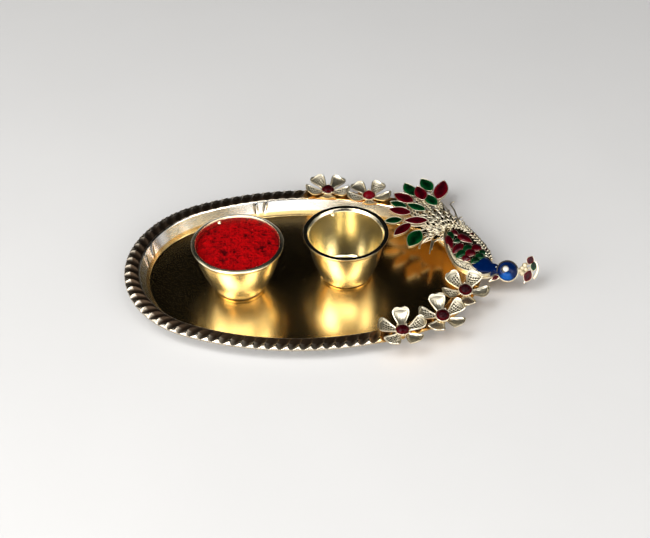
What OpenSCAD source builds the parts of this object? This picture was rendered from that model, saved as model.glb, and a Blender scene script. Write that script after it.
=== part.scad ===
// Oval offering tray with a fluted rim, two loose cups and a peacock with
// five flowers riveted on the rim. Origin at the middle of the tray's
// underside, X towards the peacock, Z up, millimetres.

/* [Tray] */
// Length of the tray over its rim
tray_len = 236; // [200:1:290]
// Width of the tray over its rim
tray_w = 161; // [146:1:190]
// What the radius of the oval's two ends lacks from half the tray's width
end_ease = 9.5; // [5:0.5:18]
// Thickness of the pressed sheet
sheet = 1; // [0.7:0.1:1.4]
// Height of the wall up to the fluted rim
wall_h = 10.9; // [8:0.1:16]
// Run of the sloping wall, seen from above
wall_run = 5; // [3:0.2:9]
// Width of the fluted rim
rim_w = 10.4; // [9:0.1:13]
// Rise of the rolled rim over the top of the wall
roll_rise = 1.7; // [1.4:0.1:2.6]
// Height of the turned down outer edge
edge_h = 1.5; // [1:0.1:2.5]
// Number of flutes round the rim
flute_n = 84; // [60:2:96]
// Depth of a flute at the crown of the rim
flute_depth = 0.9; // [0.5:0.1:1.1]
// Angle between a flute and the way across the rim
flute_slant = 26; // [12:1:36]

/* [Cups] */
// Radius of the red powder cup over its lip
cup_a_r = 30; // [26:0.5:34]
// Height of the red powder cup
cup_a_h = 37; // [30:0.5:44]
// Radius of the foot of the red powder cup
cup_a_foot_r = 16; // [12:0.5:20]
// Distance of the red powder cup left of the tray's middle
cup_a_left = 42; // [38:0.5:48]
// Distance of the red powder cup in front of the tray's middle
cup_a_front = 7.5; // [0:0.5:16]
// Radius of the empty cup over its lip
cup_b_r = 28; // [24:0.5:31]
// Height of the empty cup
cup_b_h = 35; // [28:0.5:42]
// Radius of the foot of the empty cup
cup_b_foot_r = 16.3; // [12:0.5:20]
// Distance of the empty cup right of the tray's middle
cup_b_right = 28.3; // [24:0.5:34]
// Distance of the empty cup behind the tray's middle
cup_b_back = 2.7; // [0:0.5:14]
// Wall of both cups
cup_wall = 1; // [0.7:0.1:1.5]
// Width of the flat lip of both cups
lip_w = 2.6; // [1.5:0.1:4]
// Height of the straight neck under the lip
neck_h = 3.8; // [2.5:0.1:6]
// Depth of the powder's edge below the lip
powder_drop = 4.4; // [3:0.2:9]
// Rise of the powder's heap over its edge
powder_heap = 3.4; // [1:0.2:6]

/* [Flowers] */
// Diameter of a flower over its petals
flower_d = 31; // [26:0.5:32]
// Width of a petal
petal_w = 10; // [8:0.2:10.6]
// Thickness of a petal
petal_t = 0.8; // [0.6:0.1:1.2]
// Mean rise of a petal's tip over its root
petal_lift = 3.2; // [1:0.2:5]
// Further rise of a petal that points over the tray
petal_lean = 2; // [0:0.2:3]
// Diameter of the hub under the stone
hub_d = 9.4; // [8:0.2:11]
// Height of the hub
hub_h = 1.6; // [1.4:0.1:2.6]
// Diameter of the red stone
stone_d = 8.3; // [6:0.1:9]
// Height of the red stone
stone_h = 2.8; // [1.4:0.1:4]

/* [Peacock] */
// Reach of the tail from its root to the furthest leaf
tail_len = 60; // [50:1:66]
// Thickness of the tail's openwork
tail_t = 1.3; // [1:0.1:2]
// Height of a leaf's raised border over the openwork
leaf_edge_h = 0.7; // [0.4:0.1:1.2]
// Width of a leaf's raised border
leaf_edge_w = 0.7; // [0.5:0.1:1]
// Length of the body from the tail's root to the breast
body_len = 44; // [38:1:50]
// Width of the body over the wing
body_w = 25; // [22:0.5:29]
// Thickness of the body at its edge
body_edge_h = 2; // [1.4:0.1:3]
// Height of the body's crown
body_h = 4.6; // [4:0.1:6]
// Diameter of the blue breast
breast_d = 14; // [12:0.5:15]
// Height of the blue breast's dome over the body's underside
breast_h = 6.4; // [5.4:0.1:8]
// Diameter of the head
head_d = 14.4; // [12:0.2:17]
// Thickness of the head's cast dish
head_t = 1.6; // [1.2:0.1:2.4]
// Height of the head's blue dome
head_dome = 3.6; // [2:0.1:5]
// Tilt of the head towards the front of the tray
head_tilt = 37; // [10:1:44]
// Thickness of the neck
neck_d = 4; // [3:0.1:5]
// Diameter of the white stone of the eye
eye_d = 4.4; // [3:0.1:5]
// Length of the beak
beak_len = 7; // [5:0.2:9]
// Reach of the crest behind the head
crest_len = 16; // [13:0.5:20]
// Diameter of a crest bead
crest_bead_d = 2.5; // [2:0.1:2.7]

/* [Rivets] */
// Diameter of a rivet's shank
rivet_d = 2; // [1.6:0.1:2.4]
// Diameter of a rivet's head
rivet_head_d = 3.8; // [3.2:0.1:4.4]
// Height of a rivet's head
rivet_head_h = 0.8; // [0.6:0.1:1]

/* [Hidden] */
$fn = 64;

// Clearance round everything set into or through another piece
fit_gap = 0.06;
// Gap between the ornaments and the crown that carries them
seat_gap = 0.05;
// Overrun of every cut
over = 2;

// Half length, half width and the radii of the ends and long sides of the oval
half_l = tray_len / 2;
half_w = tray_w / 2;
end_r = half_w - end_ease;
side_r = (pow(half_l, 2) + pow(half_w, 2) - 2 * half_l * end_r) / (2 * (half_w - end_r));
end_c = half_l - end_r;
side_c = side_r - half_w;
// Half angle of an end arc and of a side arc
end_a = atan2(side_c, end_c);
side_a = 90 - end_a;

// Rolled rim: an arc through the top of the wall and the outer edge
roll_r = (pow(rim_w / 2, 2) + pow(roll_rise, 2)) / (2 * roll_rise);
crown_z = wall_h + roll_rise;
roll_z = crown_z - roll_r;
// Slope of the wall and what its lower bend takes
wall_a = atan2(wall_h - sheet, wall_run);
bend = sheet * tan(wall_a / 2);
// Lengths of the arcs along the crown
crown_in = rim_w / 2;
end_run = 2 * end_a * PI / 180 * (end_r - crown_in);
side_run = 2 * side_a * PI / 180 * (side_r - crown_in);
lap = 2 * (end_run + side_run);

// Arc centre, radius and turn of the place at a distance along the crown
function deg_of(run, r) = run / r * 180 / PI;
function station(s) =
    s < end_run ? [end_c, 0, end_r, -end_a + deg_of(s, end_r - crown_in)]
    : s < end_run + side_run ? [0, -side_c, side_r, 90 - side_a + deg_of(s - end_run, side_r - crown_in)]
    : s < 2 * end_run + side_run
        ? [-end_c, 0, end_r, 180 - end_a + deg_of(s - end_run - side_run, end_r - crown_in)]
    : [0, side_c, side_r, 270 - side_a + deg_of(s - 2 * end_run - side_run, side_r - crown_in)];

// Arc centre and radius of the outline where it faces a given direction
function facing(turn) =
    abs(turn) <= end_a ? [end_c, 0, end_r]
    : turn > 0 ? [0, -side_c, side_r] : [0, side_c, side_r];
function rim_place(turn, inset) =
    let (f = facing(turn)) [f[0] + (f[2] - inset) * cos(turn), f[1] + (f[2] - inset) * sin(turn)];

// Height of the rim's underside below the flutes, a distance q from the crown
function under_z(q) = roll_z + sqrt(pow(roll_r - sheet, 2) - q * q) - flute_depth;

// Flowers: the direction in which the rim faces there, the place across the
// rim as a share of its width, the turn of the petals and the side to which
// they droop. The fourth stands a pitch along the crown from the fifth.
flower_turns = [-70.9, -53.3, -28.7, 0, 75.8];
flower_pitch = flower_d * 0.936;
function run_at(turn) =
    turn <= end_a ? (turn + end_a) * PI / 180 * (end_r - crown_in)
    : end_run + (turn - end_a) * PI / 180 * (side_r - crown_in);
flower_in_shares = [0.2, 0.2, 0.54, 0.36, 0.6];
flower_phases = [22, 32, 57, 52, 54];
flower_faces = [-90, -90, -75, 60, 90];
function flower_in(i) = rim_w * flower_in_shares[i];
function flower_place(i) =
    i == 3 ? let (at = station(run_at(flower_turns[4]) + flower_pitch), r = at[2] - flower_in(i))
        [at[0] + r * cos(at[3]), at[1] + r * sin(at[3])]
    : rim_place(flower_turns[i], flower_in(i));
flower_z = crown_z + seat_gap;
// Rim round the stone
bezel_h = stone_h * 0.25;
bezel_t = (hub_d - stone_d) / 2 - fit_gap;
// Petal: places along it, half widths there, root and the rise of its edges
petal_u_shares = [0, 0.2, 0.42, 0.62, 0.8, 0.93, 1];
petal_w_shares = [0.42, 0.56, 0.84, 1, 0.88, 0.56, 0.2];
petal_v_shares = [-1, -0.55, 0, 0.55, 1];
petal_root = hub_d * 0.32;
petal_cup = petal_w * 0.13;

// Rivets of the peacock: one through the tail's tongue, one in the body
tongue_turn = 25;
tongue_place = rim_place(tongue_turn, crown_in);
body_rivet_place = rim_place(0, crown_in);
rivet_hole = rivet_d + 2 * fit_gap;

// Frame of the peacock: on the crown at the tray's right end
peacock_at = [half_l - crown_in, 0, crown_z + seat_gap];
// Root of the tail, as shares of the body's length
tail_root_shares = [-0.29, 0.66];
tail_root = body_len * tail_root_shares;
// Leaves: base and tip as shares of the tail's reach from its root, width
red_leaf_shares = [
    [-0.458, 0.13, -0.65, -0.087, 0.1], [-0.267, 0.163, -0.508, 0.163, 0.092],
    [-0.442, 0.305, -0.683, 0.38, 0.1], [-0.408, 0.497, -0.608, 0.663, 0.117],
    [-0.283, 0.53, -0.342, 0.772, 0.117], [-0.117, 0.547, -0.025, 0.888, 0.142]];
green_leaf_shares = [
    [-0.55, 0.197, -0.75, 0.163, 0.083], [-0.367, -0.012, -0.5, -0.287, 0.133],
    [-0.492, 0.422, -0.667, 0.522, 0.083], [-0.392, 0.613, -0.483, 0.847, 0.125],
    [-0.283, 0.363, -0.475, 0.472, 0.083], [-0.142, 0.438, -0.25, 0.638, 0.1],
    [-0.183, 0.705, -0.283, 0.922, 0.125]];
stem_w = tail_len * 0.022;
barb_len = tail_len * 0.075;
barb_step = tail_len * 0.058;
barb_w = tail_len * 0.013;
barb_a = 32;
pocket_z = tail_t * 0.5;
web_t = tail_t * 0.85;
tongue_w = body_len * 0.2;
// Radius of the plate under the body that gathers the stems
gather_r = body_len * 0.14;

// Outline of the body as shares of its length, from the tail round the left
body_shares = [[-0.39, 0.64], [-0.43, 0.43], [-0.41, 0.22], [-0.365, 0.02], [-0.31, -0.14], [-0.21, -0.275],
    [-0.08, -0.375], [0.03, -0.43], [0.17, -0.43], [0.25, -0.34], [0.36, -0.36], [0.37, -0.25], [0.26, -0.19], [0.255, -0.07],
    [0.22, 0.09], [0.15, 0.29], [0.06, 0.47], [-0.04, 0.66], [-0.12, 0.74], [-0.27, 0.73]];
body_mid = body_len * [-0.08, 0.15];
body_axis_a = -67.7;
wing_r = (pow(body_w / 2, 2) + pow(body_h - body_edge_h, 2)) / (2 * (body_h - body_edge_h));
// Wing cells: place, length and width as shares of the body's length, turn
red_cell_shares = [
    [-0.34, 0.28, 0.26, 0.08, -74], [-0.155, 0.43, 0.36, 0.09, -43], [-0.224, 0.165, 0.17, 0.085, 58],
    [-0.025, 0.113, 0.2, 0.085, 52], [-0.125, -0.05, 0.11, 0.085, 52], [0.085, 0.24, 0.11, 0.075, -52],
    [0.02, 0.5, 0.075, 0.055, -40], [0.158, 0.168, 0.07, 0.05, -64]];
green_cell_shares = [
    [-0.24, 0.37, 0.11, 0.075, -40], [-0.115, 0.165, 0.17, 0.085, 45], [-0.21, 0.035, 0.15, 0.085, 45],
    [-0.028, -0.088, 0.1, 0.075, 45], [0.062, -0.014, 0.12, 0.085, 45], [0.136, 0.082, 0.11, 0.07, 50],
    [0.115, 0.36, 0.075, 0.055, -55]];
cell_depth = body_h * 0.22;
cell_proud = body_h * 0.06;

// Breast and head
breast_at = body_len * [0.09, -0.275];
breast_z = body_edge_h * 0.8;
head_at = [body_len * 0.455, -body_len * 0.386, body_len * 0.105];
neck_at = body_len * [0.315, -0.305];
tongue_t = body_edge_h;
neck_seat = tongue_t * 0.7;
neck_head_at = head_d * [-0.3, 0.06];
head_step_d = head_d * 1.2;
peg_d = neck_d * 0.5;
eye_at = head_d * [-0.1, 0.05];
eye_seat = head_dome * 0.55;
beak_turn = 208;
beak_w = beak_len * 0.46;
// Crest: drops as shares of its reach, from the middle of the head
crest_red_shares = [[0.95, 0.46, 0.36, 0.27, 62], [0.81, -0.2, 0.48, 0.24, 66]];
crest_green_shares = [[1.075, 0.2, 0.4, 0.25, 84]];
crest_bead_shares = [[0.7, 0.27], [0.62, 0.09], [0.79, 0.1], [0.6, -0.09]];
crest_t = head_t * 0.8;
crest_edge_w = leaf_edge_w * 0.8;

// Cups: places, foot ring, lip and pip, curve of the bowl
cup_a_at = [-cup_a_left, -cup_a_front, sheet];
cup_b_at = [cup_b_right, cup_b_back, sheet];
foot_h = cup_wall * 1.2;
foot_step = cup_wall * 0.4;
floor_z = cup_wall * 1.3;
lip_t = cup_wall * 0.9;
pip_d = cup_wall * 2.2;
pip_a_turn = 118;
pip_b_turn = 110;
neck_in_a = lip_w * 0.84;
neck_in_b = lip_w * 1.25;
belly_a_shares = [0.72, 0.6];
belly_b_shares = [0.88, 0.5];
bowl_steps = 10;
powder_gap = cup_wall * 0.25;
heap_steps = 6;

// Steps of the body's outline, dome of the enamel, blind bores, crest
ring_steps = 3;
enamel_dome = 2.2;
blind_z = body_edge_h * 1.15;
barb_from = 2;
crest_bar_w = crest_len * 0.16;

// Ordered faces of a slab between an upper and a lower grid of points
function slab_faces(nu, nv) =
    let (n = (nu + 1) * (nv + 1), k = function(i, j) i * (nv + 1) + j)
    concat(
        [for (i = [0:nu - 1], j = [0:nv - 1]) [k(i, j), k(i, j + 1), k(i + 1, j + 1)]],
        [for (i = [0:nu - 1], j = [0:nv - 1]) [k(i, j), k(i + 1, j + 1), k(i + 1, j)]],
        [for (i = [0:nu - 1], j = [0:nv - 1]) [n + k(i, j), n + k(i + 1, j + 1), n + k(i, j + 1)]],
        [for (i = [0:nu - 1], j = [0:nv - 1]) [n + k(i, j), n + k(i + 1, j), n + k(i + 1, j + 1)]],
        [for (i = [0:nu - 1]) [k(i, 0), k(i + 1, 0), n + k(i + 1, 0)]],
        [for (i = [0:nu - 1]) [k(i, 0), n + k(i + 1, 0), n + k(i, 0)]],
        [for (i = [0:nu - 1]) [k(i, nv), n + k(i + 1, nv), k(i + 1, nv)]],
        [for (i = [0:nu - 1]) [k(i, nv), n + k(i, nv), n + k(i + 1, nv)]],
        [for (j = [0:nv - 1]) [k(0, j), n + k(0, j + 1), k(0, j + 1)]],
        [for (j = [0:nv - 1]) [k(0, j), n + k(0, j), n + k(0, j + 1)]],
        [for (j = [0:nv - 1]) [k(nu, j), k(nu, j + 1), n + k(nu, j + 1)]],
        [for (j = [0:nv - 1]) [k(nu, j), n + k(nu, j + 1), n + k(nu, j)]]);

// Smooth closed outline through a ring of points
function spline_at(a, b, c, d, t) =
    (2 * b + (c - a) * t + (2 * a - 5 * b + 4 * c - d) * t * t + (3 * b - 3 * c + d - a) * t * t * t) / 2;
function smooth_ring(pts, steps) =
    let (n = len(pts))
    [for (i = [0:n - 1], s = [0:steps - 1])
        spline_at(pts[(i + n - 1) % n], pts[i], pts[(i + 1) % n], pts[(i + 2) % n], s / steps)];

// Pointed leaf along X, its outline drawn in by a given margin
module leaf(l, w, margin = 0) {
    r = (l * l + w * w) / (4 * w);
    intersection() {
        translate([0, r - w / 2]) circle(r - margin);
        translate([0, w / 2 - r]) circle(r - margin);
    }
}

// Rings of the pressed sheet from the floor's edge over the rim and back
// underneath: distance in from the outer edge, height, share of the flute
roll_share = 0.6;
roll_a = asin(roll_share * crown_in / roll_r);
under_r = roll_r - sheet;
tray_rings = [
    [rim_w + wall_run, sheet, 0],
    [rim_w, wall_h, 0],
    [crown_in + roll_r * sin(roll_a), roll_z + roll_r * cos(roll_a), 0.6],
    [crown_in, crown_z, 1],
    [crown_in - roll_r * sin(roll_a), roll_z + roll_r * cos(roll_a), 1],
    [0, wall_h, 0.3],
    [sheet * 0.3, wall_h - edge_h, 0.3],
    [sheet, wall_h - edge_h, 0.3],
    [crown_in - under_r * sin(roll_a), roll_z + under_r * cos(roll_a), 1],
    [crown_in, crown_z - sheet, 1],
    [crown_in + under_r * sin(roll_a), roll_z + under_r * cos(roll_a), 0.6],
    [rim_w - sheet * sin(wall_a), wall_h - sheet * cos(wall_a), 0],
    [rim_w + wall_run - bend, 0, 0]];
columns = 3 * flute_n;

// A point of the sheet: the flutes slant, so each ring is shifted along the rim
function tray_point(c, ring) =
    let (shift = (max(ring[0], 0) - crown_in) * tan(flute_slant),
        at = station((lap * c / columns + min(shift, crown_in) + lap) % lap),
        r = at[2] - ring[0])
    [at[0] + r * cos(at[3]), at[1] + r * sin(at[3]), ring[1] - (c % 3 == 0 ? ring[2] * flute_depth : 0)];

module tray_sheet() {
    n = len(tray_rings);
    points = [for (c = [0:columns - 1], ring = tray_rings) tray_point(c, ring)];
    sides = [for (c = [0:columns - 1], k = [0:n - 2])
        let (a = c * n + k, b = (c + 1) % columns * n + k) [a, b, b + 1]];
    sides_too = [for (c = [0:columns - 1], k = [0:n - 2])
        let (a = c * n + k, b = (c + 1) % columns * n + k) [a, b + 1, a + 1]];
    floor_top = [for (c = [columns - 1:-1:0]) c * n];
    floor_low = [for (c = [0:columns - 1]) c * n + n - 1];
    polyhedron(points, concat(sides, sides_too, [floor_top, floor_low]), convexity = 6);
}

module rivet_cut(place) {
    translate([place[0], place[1], wall_h - edge_h - over])
        cylinder(d = rivet_hole, h = roll_rise + edge_h + 2 * over);
}

module tray() {
    color("goldenrod") difference() {
        tray_sheet();
        for (i = [0:4]) rivet_cut(flower_place(i));
        rivet_cut(tongue_place);
        rivet_cut(body_rivet_place);
    }
}

// Section of a cup: foot ring, bowl as one curve, neck and flat lip
function bowl_at(a, c, b, t) = a * pow(1 - t, 2) + c * 2 * t * (1 - t) + b * t * t;
function bowl_way(a, c, b, t) = (c - a) * (1 - t) + (b - c) * t;
function bowl_side(a, c, b, t, gap) =
    let (w = bowl_way(a, c, b, t)) bowl_at(a, c, b, t) + [-w[1], w[0]] * gap / norm(w);
function bowl_curve(a, c, b, gap) = [for (i = [0:bowl_steps]) bowl_side(a, c, b, i / bowl_steps, gap)];

module cup(r, h, foot_r, neck_in, belly_shares, pip_turn) {
    low = [foot_r + foot_step, foot_h];
    top = [r - neck_in, h - neck_h];
    mid = [low[0] + (top[0] - low[0]) * belly_shares[0], top[1] * belly_shares[1]];
    inner = bowl_curve(low, mid, top, cup_wall);
    rotate_extrude($fn = 96)
        polygon(concat([[0, 0], [foot_r - foot_step, 0], [foot_r, foot_step], [foot_r, foot_h]],
            bowl_curve(low, mid, top, 0),
            [[top[0] + lip_t / 3, top[1] + lip_t / 3], [r - lip_w + cup_wall, h - lip_t * 1.2],
            [r - lip_t / 3, h - lip_t], [r, h - lip_t / 2], [r - lip_t / 3, h],
            [r - lip_w + lip_t / 3, h - lip_t / 5], [r - lip_w, h - lip_t / 2]],
            [for (i = [bowl_steps:-1:1]) inner[i]],
            [[inner[1][0] * 0.9, floor_z], [0, floor_z]]));
    rotate([0, 0, pip_turn]) translate([r - lip_w - pip_d * 0.25, 0, h - neck_h * 0.9])
        sphere(d = pip_d, $fn = 24);
}

module kumkum_cup() {
    color("gold") translate(cup_a_at)
        cup(cup_a_r, cup_a_h, cup_a_foot_r, neck_in_a, belly_a_shares, pip_a_turn);
}

module empty_cup() {
    color("gold") translate(cup_b_at)
        cup(cup_b_r, cup_b_h, cup_b_foot_r, neck_in_b, belly_b_shares, pip_b_turn);
}

// Powder: fills the bowl to below the lip and rises in a low heap
module kumkum_powder() {
    low = [cup_a_foot_r + foot_step, foot_h];
    top = [cup_a_r - neck_in_a, cup_a_h - neck_h];
    mid = [low[0] + (top[0] - low[0]) * belly_a_shares[0], top[1] * belly_a_shares[1]];
    side = bowl_curve(low, mid, top, cup_wall + powder_gap);
    edge_z = cup_a_h - powder_drop;
    filled = [for (p = side) if (p[1] < edge_z && p[1] > floor_z + 2 * powder_gap) p];
    last = filled[len(filled) - 1];
    color("crimson") translate(cup_a_at) rotate_extrude($fn = 96)
        polygon(concat([[0, floor_z + powder_gap], [filled[0][0] * 0.9, floor_z + powder_gap]], filled,
            [for (i = [heap_steps:-1:0]) let (t = i / heap_steps)
                [last[0] * t, edge_z + powder_heap * (1 - t * t * t)]]));
}

// One petal, its root at the flower's middle: a spoon with raised edges
module petal(lift) {
    nu = len(petal_u_shares) - 1;
    nv = len(petal_v_shares) - 1;
    top = [for (i = [0:nu], j = [0:nv])
        let (u = petal_u_shares[i], v = petal_v_shares[j])
        [petal_root + (flower_d / 2 - petal_root) * u, petal_w / 2 * petal_w_shares[i] * v,
            petal_t + lift * u * u + petal_cup * v * v * petal_w_shares[i]]];
    low = [for (p = top) p - [0, 0, petal_t]];
    polyhedron(concat(top, low), slab_faces(nu, nv), convexity = 4);
}

module flower(i) {
    place = flower_place(i);
    translate([place[0], place[1], flower_z]) difference() {
        union() {
            for (k = [0:4], turn = [flower_phases[i] + 72 * k])
                rotate([0, 0, turn]) petal(petal_lift - petal_lean * cos(turn - flower_faces[i]));
            cylinder(d = hub_d, h = hub_h + bezel_h);
        }
        translate([0, 0, hub_h]) cylinder(d = hub_d - 2 * bezel_t, h = over + petal_lift);
        translate([0, 0, -over]) cylinder(d = rivet_hole, h = hub_h + 2 * over);
        translate([0, 0, hub_h - rivet_head_h - fit_gap])
            cylinder(d = rivet_head_d + 2 * fit_gap, h = rivet_head_h + over);
    }
}

module flower_1() { color("wheat") flower(0); }
module flower_2() { color("wheat") flower(1); }
module flower_3() { color("wheat") flower(2); }
module flower_4() { color("wheat") flower(3); }
module flower_5() { color("wheat") flower(4); }

// Domed stone standing on the plane z = 0
module dome(d, h) {
    r = (d * d / 4 + h * h) / (2 * h);
    translate([0, 0, h - r]) intersection() {
        sphere(r);
        translate([0, 0, r - h]) cylinder(r = r, h = r);
    }
}

module flower_stone(i) {
    place = flower_place(i);
    translate([place[0], place[1], flower_z + hub_h + seat_gap]) dome(stone_d, stone_h);
}

module flower_stone_1() { color("darkred") flower_stone(0); }
module flower_stone_2() { color("darkred") flower_stone(1); }
module flower_stone_3() { color("darkred") flower_stone(2); }
module flower_stone_4() { color("darkred") flower_stone(3); }
module flower_stone_5() { color("darkred") flower_stone(4); }

// Rivet at a place on the rim, from its lower head up to a given height
module rivet(place, q, top_z, upper_head) {
    head_z = under_z(q + rivet_head_d / 2) - fit_gap;
    translate([place[0], place[1], head_z - rivet_head_h]) cylinder(d = rivet_head_d, h = rivet_head_h);
    translate([place[0], place[1], head_z - rivet_head_h / 2])
        cylinder(d = rivet_d, h = top_z - head_z + rivet_head_h / 2);
    if (upper_head)
        translate([place[0], place[1], top_z - rivet_head_h]) cylinder(d = rivet_head_d, h = rivet_head_h);
}

module flower_rivets() {
    color("peru") for (i = [0:4])
        rivet(flower_place(i), abs(crown_in - flower_in(i)), flower_z + hub_h, true);
}

module peacock_rivets() {
    color("peru") {
        rivet(tongue_place, 0, peacock_at[2] + blind_z - fit_gap, false);
        rivet(body_rivet_place, 0, peacock_at[2] + blind_z - fit_gap, false);
    }
}

// Puts a leaf between its base and its tip, given as shares from the tail's root
module at_leaf(s) {
    base = tail_root + tail_len * [s[0], s[1]];
    tip = tail_root + tail_len * [s[2], s[3]];
    way = tip - base;
    translate((base + tip) / 2) rotate([0, 0, atan2(way[1], way[0])]) children();
}
function leaf_l(s) = tail_len * norm([s[2] - s[0], s[3] - s[1]]);
function leaf_w(s) = tail_len * s[4];

module leaf_cup(s) {
    at_leaf(s) difference() {
        linear_extrude(tail_t + leaf_edge_h) leaf(leaf_l(s), leaf_w(s));
        translate([0, 0, pocket_z]) linear_extrude(tail_t + leaf_edge_h)
            leaf(leaf_l(s), leaf_w(s), leaf_edge_w);
    }
}

module leaf_enamel(s) {
    l = leaf_l(s);
    at_leaf(s) intersection() {
        translate([0, 0, pocket_z + fit_gap])
            linear_extrude(tail_t + leaf_edge_h) leaf(l, leaf_w(s), leaf_edge_w + fit_gap);
        translate([0, 0, tail_t + leaf_edge_h * 1.4 - enamel_dome * l]) sphere(enamel_dome * l, $fn = 256);
    }
}

// Stem from the tail's root into a leaf, with slanting barbs on both sides
module stem(s) {
    base = tail_len * [s[0], s[1]] * 1.04;
    l = norm(base);
    translate(tail_root) rotate([0, 0, atan2(base[1], base[0])]) {
        polygon([[0, stem_w], [0, -stem_w], [l, -stem_w / 2], [l, stem_w / 2]]);
        for (i = [barb_from:floor((l - barb_len) / barb_step)], side = [-1, 1])
            translate([i * barb_step, 0]) rotate([0, 0, side * barb_a])
                translate([0, -barb_w / 2]) square([barb_len, barb_w]);
    }
}

// Outline of the tail's tongue under the body, grown by a margin
module tongue_outline(margin) {
    a = tail_root + body_len * [0.02, 0.11];
    b = tongue_place - [peacock_at[0], 0];
    way = b - a;
    translate(a) rotate([0, 0, atan2(way[1], way[0])])
        translate([-margin, -tongue_w / 2 - margin])
            square([norm(way) + tongue_w / 2 + 2 * margin, tongue_w + 2 * margin]);
}

module tail_frame() {
    color("wheat") translate(peacock_at) difference() {
        union() {
            for (s = red_leaf_shares) leaf_cup(s);
            for (s = green_leaf_shares) leaf_cup(s);
            linear_extrude(web_t) {
                difference() {
                    for (s = concat(red_leaf_shares, green_leaf_shares)) stem(s);
                    for (s = concat(red_leaf_shares, green_leaf_shares))
                        at_leaf(s) leaf(leaf_l(s), leaf_w(s), leaf_edge_w / 2);
                    offset_body(fit_gap);
                }
                translate(tail_root) circle(gather_r);
            }
            linear_extrude(tail_t) tongue_outline(0);
        }
        translate([tongue_place[0] - peacock_at[0], tongue_place[1], -over])
            cylinder(d = rivet_hole, h = tail_t + 2 * over);
    }
}

module tail_enamel_red() {
    color("firebrick") translate(peacock_at) for (s = red_leaf_shares) leaf_enamel(s);
}

module tail_enamel_green() {
    color("darkgreen") translate(peacock_at) for (s = green_leaf_shares) leaf_enamel(s);
}

// Outline of the body, grown by a margin towards every side
module offset_body(margin) {
    ring = smooth_ring(body_shares * body_len, ring_steps);
    n = len(ring);
    polygon([for (i = [0:n - 1])
        let (w = ring[(i + 1) % n] - ring[(i + n - 1) % n]) ring[i] + [w[1], -w[0]] * margin / norm(w)]);
}

// Round top of the wing, raised or lowered by a step
module wing_top(step) {
    translate([body_mid[0], body_mid[1], body_h - wing_r]) rotate([0, 0, body_axis_a]) rotate([0, 90, 0])
        cylinder(r = wing_r + step, h = 2 * body_len, center = true, $fn = 128);
}

module cell(s, margin) {
    translate([body_len * s[0], body_len * s[1], 0]) rotate([0, 0, s[4]])
        linear_extrude(body_h + over) leaf(body_len * s[2], body_len * s[3], margin);
}

module cell_enamel(s) {
    intersection() {
        cell(s, fit_gap);
        difference() {
            wing_top(cell_proud);
            wing_top(fit_gap - cell_depth);
        }
    }
}

module peacock_body() {
    color("wheat") translate(peacock_at) difference() {
        intersection() {
            linear_extrude(body_h) offset_body(0);
            wing_top(0);
        }
        for (s = concat(red_cell_shares, green_cell_shares))
            difference() {
                cell(s, 0);
                wing_top(-cell_depth);
            }
        translate([breast_at[0], breast_at[1], breast_z])
            cylinder(d = breast_d + 2 * fit_gap, h = breast_h);
        translate([0, 0, -over]) linear_extrude(tail_t + over + fit_gap) {
            tongue_outline(fit_gap);
            translate(tail_root) circle(gather_r + fit_gap);
        }
        translate([tongue_place[0] - peacock_at[0], tongue_place[1], -over])
            cylinder(d = rivet_hole, h = blind_z + over);
        translate([body_rivet_place[0] - peacock_at[0], body_rivet_place[1], -over])
            cylinder(d = rivet_hole, h = blind_z + over);
        // Step that clears the head, and the seat of its neck
        translate([head_at[0], head_at[1], tongue_t]) cylinder(d = head_step_d, h = body_h);
        translate([neck_at[0], neck_at[1], neck_seat])
            cylinder(d = neck_d + 2 * fit_gap, h = body_h);
        translate([neck_at[0], neck_at[1], -over]) cylinder(d = peg_d + 2 * fit_gap, h = body_h + over);
    }
}

module wing_enamel_red() {
    color("firebrick") translate(peacock_at) for (s = red_cell_shares) cell_enamel(s);
}

module wing_enamel_green() {
    color("darkgreen") translate(peacock_at) for (s = green_cell_shares) cell_enamel(s);
}

module breast_enamel() {
    color("mediumblue") translate(peacock_at + [breast_at[0], breast_at[1], breast_z + seat_gap])
        dome(breast_d, breast_h - breast_z);
}

// Plane of the head: tilted to the front, its origin on the dish's top
module at_head() {
    translate(peacock_at + head_at) rotate([head_tilt, 0, 0]) children();
}

module peacock_head() {
    color("wheat") {
        at_head() difference() {
            translate([0, 0, -head_t]) cylinder(d = head_d, h = head_t + leaf_edge_h);
            cylinder(d = head_d - 2 * leaf_edge_w, h = head_t + over);
        }
        at_head() rotate([0, 0, beak_turn]) hull() {
            translate([head_d * 0.42, 0, -head_t]) cylinder(d = beak_w, h = head_t, $fn = 24);
            translate([head_d / 2 + beak_len, 0, -head_t])
                cylinder(d = beak_w / 4, h = head_t * 0.7, $fn = 12);
        }
        // Neck with its peg in the body's tongue
        hull() {
            translate(peacock_at + [neck_at[0], neck_at[1], tongue_t])
                cylinder(d = neck_d, h = fit_gap, $fn = 32);
            at_head() translate([neck_head_at[0], neck_head_at[1], -head_t])
                cylinder(d = neck_d, h = head_t / 2, $fn = 32);
        }
        translate(peacock_at + [neck_at[0], neck_at[1], neck_seat + seat_gap])
            cylinder(d = neck_d, h = tongue_t - neck_seat, $fn = 32);
        translate(peacock_at + [neck_at[0], neck_at[1], fit_gap]) cylinder(d = peg_d, h = tongue_t);
    }
}

module head_enamel() {
    color("mediumblue") at_head() difference() {
        translate([0, 0, seat_gap]) dome(head_d - 2 * leaf_edge_w - 2 * fit_gap, head_dome);
        translate([eye_at[0], eye_at[1], eye_seat]) cylinder(d = eye_d + 2 * fit_gap, h = head_dome);
    }
}

module eye_stone() {
    color("white") at_head() translate([eye_at[0], eye_at[1], eye_seat + seat_gap]) {
        cylinder(d = eye_d, h = head_dome - eye_seat);
        translate([0, 0, head_dome - eye_seat]) dome(eye_d, eye_d * 0.3);
    }
}

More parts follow.
